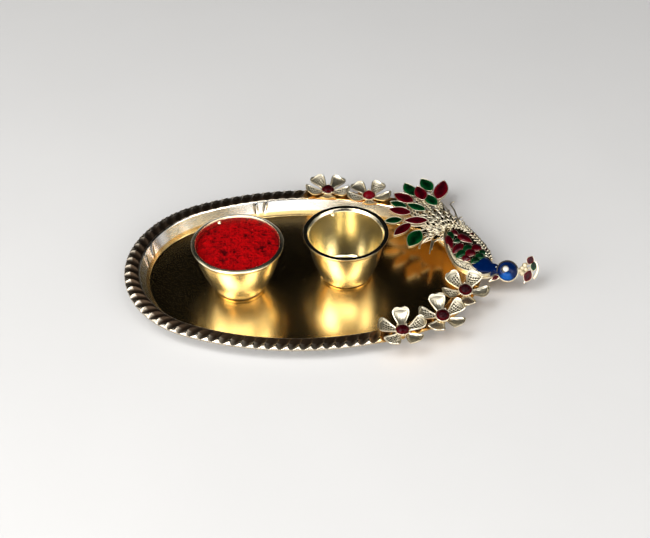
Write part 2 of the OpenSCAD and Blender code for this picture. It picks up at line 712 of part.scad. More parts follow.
module beak_enamel() {
    color("firebrick") at_head() rotate([0, 0, beak_turn])
        translate([head_d / 2 + beak_len * 0.42, 0, seat_gap]) intersection() {
            linear_extrude(beak_w) leaf(beak_len * 0.75, beak_w * 0.66);
            translate([0, 0, beak_w * 0.34 - beak_len]) sphere(beak_len);
        }
}

// Crest: a fan of drops on a bar that starts under the head's dish
module crest_drop(s, margin, h) {
    translate([crest_len * s[0], crest_len * s[1], 0]) rotate([0, 0, s[4]])
        linear_extrude(h) leaf(crest_len * s[2], crest_len * s[3], margin);
}

module crest() {
    color("wheat") at_head() translate([0, 0, -head_t - crest_t - seat_gap]) {
        difference() {
            union() {
                translate([head_d * 0.2, -crest_bar_w / 2, 0])
                    cube([crest_len * 0.98 - head_d * 0.2, crest_bar_w, crest_t]);
                for (s = concat(crest_red_shares, crest_green_shares))
                    crest_drop(s, 0, crest_t + head_t);
                for (s = crest_bead_shares) translate([crest_len * s[0], crest_len * s[1], 0])
                    cylinder(d = crest_bead_d * 1.1, h = crest_t);
                // Arm to the lower and the upper drop
                for (s = crest_red_shares) hull() {
                    translate([crest_len * 0.62, 0, 0])
                        cylinder(d = crest_bar_w * 0.7, h = crest_t, $fn = 16);
                    translate([crest_len * s[0], crest_len * s[1], 0])
                        cylinder(d = crest_bar_w * 0.7, h = crest_t, $fn = 16);
                }
            }
            for (s = concat(crest_red_shares, crest_green_shares))
                translate([0, 0, crest_t]) crest_drop(s, crest_edge_w, head_t + over);
        }
    }
}

module crest_fill(s) {
    l = crest_len * s[2];
    at_head() translate([0, 0, -head_t]) intersection() {
        crest_drop(s, crest_edge_w + fit_gap, 2 * head_t);
        translate([crest_len * s[0], crest_len * s[1], head_t * 1.35 - enamel_dome * l])
            sphere(enamel_dome * l, $fn = 256);
    }
}

module crest_enamel_red() { color("firebrick") for (s = crest_red_shares) crest_fill(s); }
module crest_enamel_green() { color("darkgreen") for (s = crest_green_shares) crest_fill(s); }

module crest_beads() {
    color("ivory") at_head() for (s = crest_bead_shares)
        translate([crest_len * s[0], crest_len * s[1], -head_t]) intersection() {
            translate([0, 0, crest_bead_d * 0.3]) sphere(d = crest_bead_d, $fn = 32);
            cylinder(d = crest_bead_d * 2, h = crest_bead_d * 2);
        }
}

tray();
kumkum_cup();
kumkum_powder();
empty_cup();
flower_1();
flower_2();
flower_3();
flower_4();
flower_5();
flower_stone_1();
flower_stone_2();
flower_stone_3();
flower_stone_4();
flower_stone_5();
flower_rivets();
tail_frame();
tail_enamel_red();
tail_enamel_green();
peacock_body();
wing_enamel_red();
wing_enamel_green();
breast_enamel();
peacock_head();
head_enamel();
beak_enamel();
eye_stone();
crest();
crest_beads();
crest_enamel_red();
crest_enamel_green();
peacock_rivets();
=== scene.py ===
import math

import bpy
import numpy as np
from mathutils import Matrix, Vector


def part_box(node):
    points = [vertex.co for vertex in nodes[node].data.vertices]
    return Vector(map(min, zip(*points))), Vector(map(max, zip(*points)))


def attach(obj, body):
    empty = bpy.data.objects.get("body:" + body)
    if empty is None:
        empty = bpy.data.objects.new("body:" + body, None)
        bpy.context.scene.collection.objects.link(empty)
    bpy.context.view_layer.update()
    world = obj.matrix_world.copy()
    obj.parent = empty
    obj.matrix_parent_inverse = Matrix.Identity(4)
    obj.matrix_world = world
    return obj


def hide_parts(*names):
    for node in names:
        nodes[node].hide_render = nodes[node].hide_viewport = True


mm = 0.001
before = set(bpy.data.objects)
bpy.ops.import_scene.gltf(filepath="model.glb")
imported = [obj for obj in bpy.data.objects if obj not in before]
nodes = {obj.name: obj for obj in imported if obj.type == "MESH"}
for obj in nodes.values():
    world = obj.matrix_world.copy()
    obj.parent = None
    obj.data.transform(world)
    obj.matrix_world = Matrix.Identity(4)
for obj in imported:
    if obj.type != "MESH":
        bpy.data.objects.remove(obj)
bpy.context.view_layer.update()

onTray = "tray_and_ornaments"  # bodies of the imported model
onPowderCup = "powder_cup"
onEmptyCup = "second_cup"


# Low and high corner of a CAD node, in millimetres
def nodeBox(name):
    low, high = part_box(name)
    return np.array(low) / mm, np.array(high) / mm


# Middle of a CAD node's box, in millimetres
def nodeMiddle(name):
    low, high = nodeBox(name)
    return (low + high) / 2


print("frame loaded:", len(nodes), "nodes")

# Camera: where the photograph was taken from. The picture is 650 by 538 pixels.
camera = {
    "focalPixels": 1600.0,
    "pictureWide": 650.0,
    "sensor": 36.0,
    "lookDown": 40.84,      # degrees below level
    "roll": -1.05,
    "distance": 1062.8,     # mm from the tray's middle
    "right": 14.29,
    "up": 4.70,
    "floorTop": 1.0,
    "clip": (0.05, 60),     # metres
}


# Turns the camera to the photograph's view
def placeCamera(c):
    down = math.radians(c["lookDown"])
    roll = math.radians(c["roll"])
    ahead = np.array([0, math.cos(down), -math.sin(down)])
    upward = np.array([0, math.sin(down), math.cos(down)])
    right = np.array([1.0, 0, 0])
    side = math.cos(roll) * right + math.sin(roll) * upward
    top = -math.sin(roll) * right + math.cos(roll) * upward
    at = -ahead * c["distance"] + right * c["right"] + upward * c["up"]
    at = at + np.array([0, 0, c["floorTop"]])
    data = bpy.data.cameras.new("photoCamera")
    data.sensor_width = c["sensor"]
    data.lens = c["focalPixels"] / c["pictureWide"] * c["sensor"]
    data.clip_start, data.clip_end = c["clip"]
    eye = bpy.data.objects.new("photoCamera", data)
    turn = Matrix((side, top, -ahead)).transposed().to_4x4()
    eye.matrix_world = Matrix.Translation(Vector(at * mm)) @ turn
    bpy.context.scene.collection.objects.link(eye)
    bpy.context.scene.camera = eye


placeCamera(camera)
print("camera placed")


# Shapes are kept as parts: points in mm, faces of three or four corners, and a
# value or two for each point, such as how much painted shade it takes in a hollow.
def makePart(points, faces, **values):
    points = np.asarray(points, float).reshape(-1, 3)
    kept = {name: np.broadcast_to(np.asarray(value, float), len(points)) for name, value in values.items()}
    return {"points": points, "faces": faces, "values": kept}


# Puts parts together as one, their faces renumbered
def joinParts(parts):
    counts = [len(part["points"]) for part in parts]
    starts = np.cumsum([0] + counts)
    values = {}
    for name in sorted({name for part in parts for name in part["values"]}):
        rows = [part["values"].get(name, np.zeros(count)) for part, count in zip(parts, counts)]
        values[name] = np.concatenate(rows)
    faces = [face + start for part, start in zip(parts, starts) for face in part["faces"]]
    return {"points": np.concatenate([part["points"] for part in parts]), "faces": faces, "values": values}


# Writes a part into a mesh object that rides on a body
def buildPiece(name, part, finish, replaced=(), body=onTray, sharp=40):
    sizes = np.concatenate([np.full(len(f), f.shape[1]) for f in part["faces"]])
    corners = np.concatenate([f.ravel() for f in part["faces"]])
    mesh = bpy.data.meshes.new(name)
    mesh.vertices.add(len(part["points"]))
    mesh.vertices.foreach_set("co", (part["points"] * mm).astype(np.float32).ravel())
    mesh.loops.add(len(corners))
    mesh.loops.foreach_set("vertex_index", corners.astype(np.int32))
    mesh.polygons.add(len(sizes))
    starts = np.concatenate([[0], np.cumsum(sizes)[:-1]])
    mesh.polygons.foreach_set("loop_start", starts.astype(np.int32))
    mesh.polygons.foreach_set("use_smooth", np.ones(len(sizes), bool))
    mesh.update(calc_edges=True)
    mesh.validate()
    for valueName, value in part["values"].items():
        held = mesh.attributes.new(valueName, "FLOAT", "POINT")
        held.data.foreach_set("value", value.astype(np.float32))
    mesh.materials.append(finish)
    piece = bpy.data.objects.new(name, mesh)
    bpy.context.scene.collection.objects.link(piece)
    if sharp:
        mesh.set_sharp_from_angle(angle=math.radians(sharp))
    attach(piece, body)
    if replaced:
        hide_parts(*replaced)


# Tilts a part about X, turns it about Z, both in degrees, and moves it
def placePart(part, turn=0.0, move=(0, 0, 0), tiltX=0.0):
    a = math.radians(turn)
    t = math.radians(tiltX)
    spin = np.array([[math.cos(a), -math.sin(a), 0], [math.sin(a), math.cos(a), 0], [0, 0, 1]])
    tilt = np.array([[1, 0, 0], [0, math.cos(t), -math.sin(t)], [0, math.sin(t), math.cos(t)]])
    return {**part, "points": part["points"] @ tilt.T @ spin.T + np.asarray(move, float)}


# Smooth noise between 0 and 1 over a plane, from a lattice of seeded values
def planeNoise(x, y, cell, seed):
    size = 256
    table = np.random.default_rng(seed).random((size, size))
    gx = x / cell + size / 4
    gy = y / cell + size / 4
    ix = np.floor(gx).astype(int)
    iy = np.floor(gy).astype(int)
    fx = (gx - ix) ** 2 * (3 - 2 * (gx - ix))
    fy = (gy - iy) ** 2 * (3 - 2 * (gy - iy))
    here, right = ix % size, (ix + 1) % size
    low, high = iy % size, (iy + 1) % size
    a = table[here, low] * (1 - fx) + table[right, low] * fx
    b = table[here, high] * (1 - fx) + table[right, high] * fx
    return a * (1 - fy) + b * fy


# Rises smoothly from 0 at low to 1 at high
def ease(x, low, high):
    t = np.clip((x - low) / (high - low), 0, 1)
    return t * t * (3 - 2 * t)


# 1 at a place and fading to both sides: e to the minus (distance / width) squared
def bell(x, at, wide):
    return np.exp(-((x - at) / wide) ** 2)


# Angles of a full turn in equal steps
def roundAngles(sides):
    return np.arange(sides) * 2 * np.pi / sides


# Shares from 0 to 1 that lie closer together towards both ends
def closingShares(count):
    return (1 - np.cos(np.linspace(0, np.pi, count))) / 2


# Points from their coordinates, spread over one grid
def pointsOf(x, y, z):
    return np.stack(np.broadcast_arrays(x, y, z), -1)


# Distance run along a line at each of its points
def runOf(line):
    return np.concatenate([[0], np.cumsum(np.linalg.norm(np.diff(line, axis=0), axis=1))])


# Places on a line at given distances along it
def alongLine(line, run, at):
    return np.stack([np.interp(at, run, line[:, k]) for k in range(line.shape[1])], -1)


# Evenly spaced points along a line of points
def respace(line, count):
    line = np.asarray(line, float)
    run = runOf(line)
    return alongLine(line, run, np.linspace(0, run[-1], count))


# A line through 2-D corners with each inner corner rounded by its own radius
def roundedLine(corners, radii, steps=5):
    corners = [np.asarray(c, float) for c in corners]
    line = [corners[0]]
    for before, at, after, radius in zip(corners, corners[1:], corners[2:], radii):
        toBefore = before - at
        toAfter = after - at
        short = min(np.linalg.norm(toBefore), np.linalg.norm(toAfter)) * 0.48
        toBefore = toBefore / np.linalg.norm(toBefore)
        toAfter = toAfter / np.linalg.norm(toAfter)
        half = math.acos(np.clip(toBefore @ toAfter, -1, 1)) / 2
        reach = min(radius / math.tan(half), short)
        a = at + toBefore * reach
        b = at + toAfter * reach
        for t in np.linspace(0, 1, steps + 1):
            line.append(a * (1 - t) ** 2 + at * 2 * t * (1 - t) + b * t * t)
    line.append(corners[-1])
    return np.array(line)


# Smooth curve through points, closed or open: a cubic between each pair that
# leaves and reaches them along the line through their neighbours
def smoothLine(points, steps, closed=False):
    p = np.asarray(points, float)
    n = len(p)
    index = np.arange(n if closed else n - 1)
    near = [(index + k) % n if closed else np.clip(index + k, 0, n - 1) for k in (-1, 0, 1, 2)]
    a, b, c, d = (p[k][:, None, :] for k in near)
    t = (np.arange(steps) / steps)[None, :, None]
    line = (2 * b + (c - a) * t + (2 * a - 5 * b + 4 * c - d) * t ** 2 + (3 * b - 3 * c + d - a) * t ** 3) / 2
    line = line.reshape(-1, p.shape[1])
    return line if closed else np.vstack([line, p[-1:]])


# Four-cornered faces of a grid of rows by columns, closed on itself where asked
def gridFaces(rows, columns, closeRows=False, closeColumns=False):
    row = np.arange(rows if closeRows else rows - 1)[:, None] * columns
    j = np.arange(columns if closeColumns else columns - 1)
    nextRow = (row + columns) % (rows * columns)
    nextJ = (j + 1) % columns
    return np.stack([row + j, nextRow + j, nextRow + nextJ, row + nextJ], -1).reshape(-1, 4)


# Rings of points, closed by a point before the first ring and one after the last
def cappedRings(grid, before, after, **values):
    rows, columns = grid.shape[:2]
    j = np.arange(columns)
    pole = np.full(columns, rows * columns)
    nextJ = (j + 1) % columns
    last = (rows - 1) * columns
    faces = [gridFaces(rows, columns, closeColumns=True), np.stack([pole, j, nextJ], 1),
             np.stack([pole + 1, last + nextJ, last + j], 1)]
    return makePart(np.vstack([grid.reshape(-1, 3), before, after]), faces, **values)


# Turned shape: a line of radius and height swept round Z, its ends closed on the
# axis at two heights. Faces are turned over where the line runs upwards.
def turnedPart(line, sides, first, last, move=(0, 0, 0), wobble=None, **values):
    line = np.asarray(line, float)
    a = roundAngles(sides)
    r, z = (line[:, k, None] * np.ones(sides) for k in (0, 1))
    if wobble is not None:
        r, z = wobble(r, z, a[None, :])
    move = np.asarray(move, float)
    part = cappedRings(pointsOf(r * np.cos(a), r * np.sin(a), z) + move, [0, 0, first] + move,
                       [0, 0, last] + move, **values)
    if last > first:
        part["faces"] = [face[:, ::-1] for face in part["faces"]]
    return part


# A small ball, squashed by a share in height
def ballPart(at, radius, flat=1.0, rings=8, sides=14, **values):
    t = np.linspace(0, np.pi, rings + 1)[1:-1]
    line = np.stack([np.sin(t) * radius, np.cos(t) * radius * flat], 1)
    return turnedPart(line, sides, radius * flat, -radius * flat, move=at, **values)


# A wire: rings round a path, each ring an ellipse set by two radii
def wirePart(path, across, high=None, sides=8, closed=False, **values):
    path = np.asarray(path, float)
    n = len(path)
    high = np.broadcast_to(across if high is None else high, n)
    across = np.broadcast_to(across, n)
    way = np.roll(path, -1, 0) - np.roll(path, 1, 0) if closed else np.gradient(path, axis=0)
    way = way / np.maximum(np.linalg.norm(way, axis=1, keepdims=True), 1e-9)
    side = np.cross(way, [0, 0, 1.0])
    side = side / np.maximum(np.linalg.norm(side, axis=1, keepdims=True), 1e-6)
    top = np.cross(side, way)
    a = roundAngles(sides)
    rings = path[:, None] + side[:, None] * (np.cos(a)[None, :, None] * across[:, None, None])
    rings = rings + top[:, None] * (np.sin(a)[None, :, None] * high[:, None, None])
    if closed:
        return makePart(rings, [gridFaces(n, sides, closeRows=True, closeColumns=True)], **values)
    return cappedRings(rings, path[0], path[-1], **values)


# A slab between an upper and a lower sheet of points on the same grid, with a
# wall round its border. The lower sheet's values are 0.
def slabPart(top, low, **values):
    rows, columns = top.shape[:2]
    count = rows * columns
    index = np.arange(count).reshape(rows, columns)
    border = np.concatenate([index[0, :-1], index[:-1, -1], index[-1, :0:-1], index[:0:-1, 0]])
    after = np.roll(border, -1)
    upper = gridFaces(rows, columns)
    wall = np.stack([after, after + count, border + count, border], 1)
    points = np.concatenate([top.reshape(-1, 3), low.reshape(-1, 3)])
    doubled = {}
    for name, value in values.items():
        doubled[name] = np.append(np.broadcast_to(value, (rows, columns)), np.zeros(count))
    return makePart(points, [upper, upper[:, ::-1] + count, wall], **doubled)


# Finishes. Each is worked out from the piece's own coordinates and values.
def startFinish(name):
    material = bpy.data.materials.new(name)
    material.use_nodes = True
    return material, material.node_tree


# Sets a node's sockets, and links what is a socket already
def setSockets(tree, node, sockets):
    for key, value in sockets.items():
        if isinstance(value, bpy.types.NodeSocket):
            tree.links.new(value, node.inputs[key])
        else:
            node.inputs[key].default_value = value


# Sets the shader of a finish that has been started
def endFinish(material, tree, sockets):
    setSockets(tree, tree.nodes["Principled BSDF"], sockets)
    return material


# Adds a node with its settings and sockets
def addNode(tree, kind, sockets, **settings):
    made = tree.nodes.new(kind)
    for key, value in settings.items():
        setattr(made, key, value)
    setSockets(tree, made, sockets)
    return made


# The piece's own coordinates
def placeOf(tree):
    return addNode(tree, "ShaderNodeTexCoord", {}).outputs["Object"]


# A value that the piece's points hold
def heldValue(tree, name):
    return addNode(tree, "ShaderNodeAttribute", {}, attribute_name=name).outputs["Fac"]


# Cloudy noise from 0 to 1
def noiseOf(tree, where, scale, detail=3.0, rough=0.55):
    sockets = {"Vector": where, "Scale": scale, "Detail": detail, "Roughness": rough}
    return addNode(tree, "ShaderNodeTexNoise", sockets).outputs["Fac"]


# Noise drawn out into lines, its three scales set apart
def streakOf(tree, where, scales):
    stretched = addNode(tree, "ShaderNodeMapping", {"Vector": where, "Scale": scales}).outputs["Vector"]
    return noiseOf(tree, stretched, 1.0)


# Colours or numbers spread along a ramp of (place, value)
def rampOf(tree, fac, *stops):
    ramp = addNode(tree, "ShaderNodeValToRGB", {"Fac": fac})
    band = ramp.color_ramp
    while len(band.elements) < len(stops):
        band.elements.new(0.5)
    for element, (at, value) in zip(band.elements, stops):
        element.position = at
        colour = value if isinstance(value, tuple) else (value, value, value)
        element.color = (*colour, 1.0)
    return ramp.outputs["Color"]


# Mixes two colours; a Mix node's colour sockets are its inputs 6 and 7, output 2
def mixOf(tree, fac, a, b, how="MIX"):
    a, b = (side if isinstance(side, bpy.types.NodeSocket) else (*side, 1.0) for side in (a, b))
    return addNode(tree, "ShaderNodeMix", {0: fac, 6: a, 7: b}, data_type="RGBA", blend_type=how).outputs[2]


# Lays colours over a base, each as far as its mask says
def layersOf(tree, base, *layers):
    for mask, colour in layers:
        base = mixOf(tree, mask, base, colour)
    return base


# One operation on two numbers
def mathOf(tree, operation, a, b):
    return addNode(tree, "ShaderNodeMath", {0: a, 1: b}, operation=operation).outputs[0]


# One number times another
def timesOf(tree, a, b):
    return mathOf(tree, "MULTIPLY", a, b)


# Adds to a start each value times its share
def sumOf(tree, start, *shares):
    for value, share in shares:
        start = mathOf(tree, "ADD", start, timesOf(tree, value, share))
    return start


# Fine relief that only the light sees: a height, its strength and its depth in metres
def bumpOf(tree, height, strength, distance):
    sockets = {"Height": height, "Strength": strength, "Distance": distance}
    return addNode(tree, "ShaderNodeBump", sockets).outputs["Normal"]


trayLook = {
    "gold": (0.86, 0.62, 0.27),
    # pale: painted highlight, the colour the wall and rim take where they mirror the bright light
    "pale": (1.0, 0.985, 0.95),
    # painted warm reflection of the flowers on the rim
    "amber": (0.92, 0.50, 0.09),
    # brown: random clouds of darker tone, and the colour of the painted shade and painted dark reflection
    "brown": (0.04, 0.022, 0.011),
    "speck": (0.16, 0.11, 0.06),
    "floorRough": 0.14,
    "rimRough": 0.13,
    "scratches": ((90.0, 2200.0, 900.0), (1700.0, 60.0, 900.0)),    # scales along X, Y and Z
    "speckScale": 330.0,
}


# Plated sheet: satin floor with fine scratches and specks, the wall and rim
# paler as a painted highlight, painted shade brown in the scoops of the rim, on
# the lip's edge and under the sheet, a painted dark reflection on the roll's
# inner half and a painted warm reflection near the flowers
def traySheetFinish(look):
    material, tree = startFinish("satinGoldSheet")
    where = placeOf(tree)
    onFloor = heldValue(tree, "onFloor")
    hollow = heldValue(tree, "hollow")
    cloud = noiseOf(tree, where, 28.0, 4.0)
    streak, streakToo = (streakOf(tree, where, scales) for scales in look["scratches"])
    fine = noiseOf(tree, where, 2600.0, 2.0)
    cells = addNode(tree, "ShaderNodeTexVoronoi", {"Vector": where, "Scale": look["speckScale"]})
    dots = rampOf(tree, cells.outputs["Distance"], (0.0, 1.0), (0.06, 0.9), (0.1, 0.0))
    rare = rampOf(tree, noiseOf(tree, where, 75.0, 2.0), (0.0, 0.0), (0.6, 0.0), (0.7, 1.0))
    specks = timesOf(tree, dots, rare)
    # Layers: gold over the pale painted highlight as far as onFloor says, the painted warm reflection, random
    # brown clouds, painted shade, specks, and painted shade under the sheet
    base = layersOf(
        tree, look["pale"], (onFloor, look["gold"]), (heldValue(tree, "amber"), look["amber"]),
        (rampOf(tree, cloud, (0.35, 0.0), (0.7, 0.16)), look["brown"]),
        (mathOf(tree, "POWER", hollow, 0.6), look["brown"]), (timesOf(tree, specks, 0.5), look["speck"]),
        (timesOf(tree, heldValue(tree, "underside"), 0.35), look["brown"]))
    rough = sumOf(tree, look["rimRough"], (onFloor, look["floorRough"] - look["rimRough"]), (cloud, 0.07),
                  (streak, 0.05), (specks, 0.3), (hollow, 0.32))
    lines = sumOf(tree, 0.0, (streak, 0.5), (streakToo, 0.3), (fine, 0.35), (specks, -0.8))
    return endFinish(material, tree, {"Base Color": base, "Metallic": 1.0, "Roughness": rough,
                                      "Normal": bumpOf(tree, lines, 0.35, 0.00004)})


cupLook = {
    "gold": (0.97, 0.88, 0.65),
    "warm": (0.93, 0.76, 0.42),
    # inner: deeper gold inside the cup, a painted reflection of its gold walls in each other
    "inner": (0.985, 0.86, 0.54),
    # colour of the painted shade and the painted dark reflection on the lip
    "paintedShadeTone": (0.10, 0.055, 0.02),
    "rough": 0.14,
    "rings": (40.0, 40.0, 2600.0),
}


# Spun cup: pale gold with rings left by the tool and a warmer bloom, a deeper gold
# inside as a painted reflection, and painted shade in its dark lines and on the lip
def cupFinish(look):
    material, tree = startFinish("paleGoldCup")
    where = placeOf(tree)
    cloud = noiseOf(tree, where, 60.0, 4.0)
    rings = streakOf(tree, where, look["rings"])
    fine = noiseOf(tree, where, 2400.0, 2.0)
    base = layersOf(
        tree, look["gold"], (rampOf(tree, cloud, (0.35, 0.0), (0.75, 0.5)), look["warm"]),
        # painted reflection inside, then painted shade
        (timesOf(tree, heldValue(tree, "inner"), 0.8), look["inner"]),
        (timesOf(tree, heldValue(tree, "hollow"), 0.9), look["paintedShadeTone"]))
    rough = sumOf(tree, look["rough"], (cloud, 0.1), (rings, 0.06))
    lines = sumOf(tree, 0.0, (rings, 0.6), (fine, 0.3))
    return endFinish(material, tree, {"Base Color": base, "Metallic": 1.0, "Roughness": rough,
                                      "Normal": bumpOf(tree, lines, 0.3, 0.00005)})


castLook = {
    "bright": (0.84, 0.77, 0.60),
    "warm": (0.72, 0.59, 0.36),
    # colour of the painted shade in hollows
    "paintedShadeTone": (0.018, 0.013, 0.007),
    # beneath: painted reflection of the gold tray on faces that look down
    "beneath": (0.98, 0.62, 0.17),
    "rough": 0.24,
}


# Cast and plated trim: bright edges, painted shade dark in every hollow, matt
# where frosted, golden where it faces down as a painted reflection of the tray
def castFinish(look):
    material, tree = startFinish("champagneCastMetal")
    where = placeOf(tree)
    cloud = noiseOf(tree, where, 110.0, 4.0)
    grain = noiseOf(tree, where, 1500.0, 3.0, 0.6)
    hollow = heldValue(tree, "hollow")
    facing = addNode(tree, "ShaderNodeNewGeometry", {}).outputs["Normal"]
    upward = addNode(tree, "ShaderNodeSeparateXYZ", {"Vector": facing}).outputs["Z"]
    # Faces that look down take the painted reflection of the gold tray
    below = rampOf(tree, timesOf(tree, upward, -1.0), (0.15, 0.0), (0.6, 1.0))
    base = layersOf(tree, look["bright"], (rampOf(tree, cloud, (0.4, 0.0), (0.75, 0.6)), look["warm"]),
                    (hollow, look["paintedShadeTone"]), (below, look["beneath"]))
    frost = heldValue(tree, "frost")
    rough = sumOf(tree, look["rough"], (grain, 0.14), (hollow, 0.2), (frost, 0.4), (below, 0.25))
    return endFinish(material, tree, {"Base Color": base, "Metallic": 1.0, "Roughness": rough,
                                      "Normal": bumpOf(tree, grain, 0.25, 0.00006)})


# Fired enamel: deep colour, paler where it thins towards the edge, glassy skin
def enamelFinish(name, deep, light, coat=0.3, start=0.2, shine=0.1):
    material, tree = startFinish(name)
    where = placeOf(tree)
    cloud = noiseOf(tree, where, 260.0, 4.0)
    wave = noiseOf(tree, where, 420.0, 2.0)
    thin = sumOf(tree, 0.0, (heldValue(tree, "edge"), 0.55), (cloud, 0.45))
    return endFinish(material, tree, {
        "Base Color": rampOf(tree, thin, (start, deep), (0.95, light)), "Roughness": 0.3,
        "Specular IOR Level": shine, "Coat Weight": coat, "Coat Roughness": 0.03,
        "Normal": bumpOf(tree, wave, 0.25, 0.0002)})


# deep: colour of the painted shade in the clefts and of the darker lumps
powderLook = {"red": (0.44, 0.0004, 0.0016), "deep": (0.07, 0.0, 0.001)}


# Loose powder: saturated, matt, painted shade in the clefts and on its hidden
# side, with random darker lumps
def powderFinish(look):
    material, tree = startFinish("redPowder")
    where = placeOf(tree)
    grain = noiseOf(tree, where, 1700.0, 4.0, 0.7)
    lump = noiseOf(tree, where, 300.0)
    depth = sumOf(tree, heldValue(tree, "hollow"), (lump, 0.25), (grain, 0.18))
    return endFinish(material, tree, {
        "Base Color": rampOf(tree, depth, (0.25, look["red"]), (0.95, look["deep"])), "Roughness": 0.95,
        "Specular IOR Level": 0.06, "Normal": bumpOf(tree, grain, 0.9, 0.0005)})


# White stone and pearl: milky, clouded between two tones, glassy skin
def whiteStoneFinish(name, low, high):
    material, tree = startFinish(name)
    cloud = noiseOf(tree, placeOf(tree), 420.0)
    return endFinish(material, tree, {"Base Color": rampOf(tree, cloud, (0.2, low), (0.8, high)),
                                      "Roughness": 0.22, "Coat Weight": 0.8, "Coat Roughness": 0.06})


# Plain brass of the rivets, turned and a little dull
def rivetFinish(dull, bright):
    material, tree = startFinish("rivetBrass")
    cloud = noiseOf(tree, placeOf(tree), 500.0, 4.0)
    return endFinish(material, tree, {
        "Base Color": rampOf(tree, cloud, (0.2, dull), (0.8, bright)), "Metallic": 1.0,
        "Roughness": sumOf(tree, 0.25, (cloud, 0.25)), "Normal": bumpOf(tree, cloud, 0.3, 0.0002)})


sheetGold = traySheetFinish(trayLook)
cupGold = cupFinish(cupLook)
castMetal = castFinish(castLook)
redEnamel = enamelFinish("redEnamel", (0.022, 0.0, 0.002), (0.24, 0.001, 0.008))
greenEnamel = enamelFinish("greenEnamel", (0.0, 0.007, 0.002), (0.003, 0.15, 0.03))
blueEnamel = enamelFinish("blueEnamel", (0.0, 0.008, 0.055), (0.001, 0.08, 0.34), 0.2, start=0.24)
redStone = enamelFinish("redStone", (0.012, 0.0, 0.001), (0.13, 0.001, 0.005), 0.1, shine=0.03)
redCrest = enamelFinish("redCrestEnamel", (0.022, 0.0, 0.002), (0.20, 0.001, 0.008), 0.08)
greenCrest = enamelFinish("greenCrestEnamel", (0.0, 0.007, 0.002), (0.003, 0.11, 0.025), 0.08)
whiteStone = whiteStoneFinish("milkyStone", (0.46, 0.43, 0.36), (0.80, 0.78, 0.71))
warmPearl = whiteStoneFinish("warmPearl", (0.36, 0.27, 0.13), (0.72, 0.63, 0.44))
redPowder = powderFinish(powderLook)
rivetBrass = rivetFinish((0.42, 0.28, 0.12), (0.74, 0.56, 0.28))
print("finishes made")

# Tray: the four-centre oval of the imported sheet, with scooped flutes
trayLow, trayHigh = nodeBox("tray")
tray = {
    "length": trayHigh[0] - trayLow[0],
    "width": trayHigh[1] - trayLow[1],
    "crown": trayHigh[2],
    "endEase": 9.5,         # half the width less the end radius
    "sheet": 1.0,
    "wallHeight": 10.9,
    "wallRun": 5.0,
    "rimWidth": 10.4,
    "edge": 1.5,
    "flutes": 84,
    "perFlute": 14,
    "slant": 26.0,
    "scoopDepth": 1.5,
    "scoopOuter": -0.7,     # scoops run out over the edge by this
    "scoopInner": 9.7,
    "scoopWide": 0.485,     # half width as a share of the pitch
    "scoopTaper": 0.42,     # by this share narrower at the edge
    "backScoop": 0.4,       # share of a scoop's depth that shows below
    "bead": 0.25,
    "beadIn": 0.35,         # from the rim's inner side
    "beadWide": 0.4,
    "rimWave": 0.1,
    "floorWave": 0.05,
    "creaseHeight": 0.42,
    "creaseWide": 1.0,
    "creaseFrom": (2.5, 7), # heights over which the creases begin and end
    "creaseTo": (9.8, 10.8),
    "creaseAt": ((-32.4, -0.3), (-26.4, 0.35)),     # X and lean of the press creases in the back wall
    "creaseLeft": (21.1, 10.6),         # Y of the creases at the left end
    "creaseSlant": -1.6,
    "rimDarkReflection": 0.97,         # painted dark reflection, brown on the inner half of the roll
    "rimDarkReflectionFrom": (2.4, 4.6),       # distances from the edge over which it begins and ends
    "rimDarkReflectionTo": (9.2, 9.8),
    "flowerReach": 17.0,    # painted warm reflection, and gold in place of the pale painted highlight and the painted dark reflection, on the rim as near a flower as this
    "flowerWarmReflection": 0.85,
    "floorRows": (0.14, 0.3, 0.5, 0.7, 0.86),       # shares of the first ring
    "underRows": (0.75, 0.4),
}


# The oval's four arcs in turn from the right end. For half length l, half width w
# and end radius e, the sides' radius is (l^2 + w^2 - 2 l e) / (2 (w - e)), which
# meets the ends smoothly.
def ovalOf(t):
    halfL = t["length"] / 2
    halfW = t["width"] / 2
    endR = halfW - t["endEase"]
    sideR = (halfL ** 2 + halfW ** 2 - 2 * halfL * endR) / (2 * (halfW - endR))
    endC = halfL - endR
    sideC = sideR - halfW
    endA = math.atan2(sideC, endC)
    half = np.array([endA, math.pi / 2 - endA] * 2)
    radius = np.array([endR, sideR] * 2)
    onCrown = radius - t["rimWidth"] / 2
    ends = np.cumsum(2 * half * onCrown)
    return {"radius": radius, "onCrown": onCrown, "angle": np.arange(4) * np.pi / 2 - half,
            "centreX": np.array([endC, 0, -endC, 0]), "centreY": np.array([0, -sideC, 0, sideC]),
            "start": np.append(0, ends[:-1]), "lap": ends[-1]}


# Place on the oval: a distance along the crown and a distance in from the edge
def onOval(o, along, inset):
    s = np.mod(along, o["lap"])
    arc = np.searchsorted(o["start"], s, side="right") - 1
    angle = o["angle"][arc] + (s - o["start"][arc]) / o["onCrown"][arc]
    radius = o["radius"][arc] - inset
    return o["centreX"][arc] + radius * np.cos(angle), o["centreY"][arc] + radius * np.sin(angle)


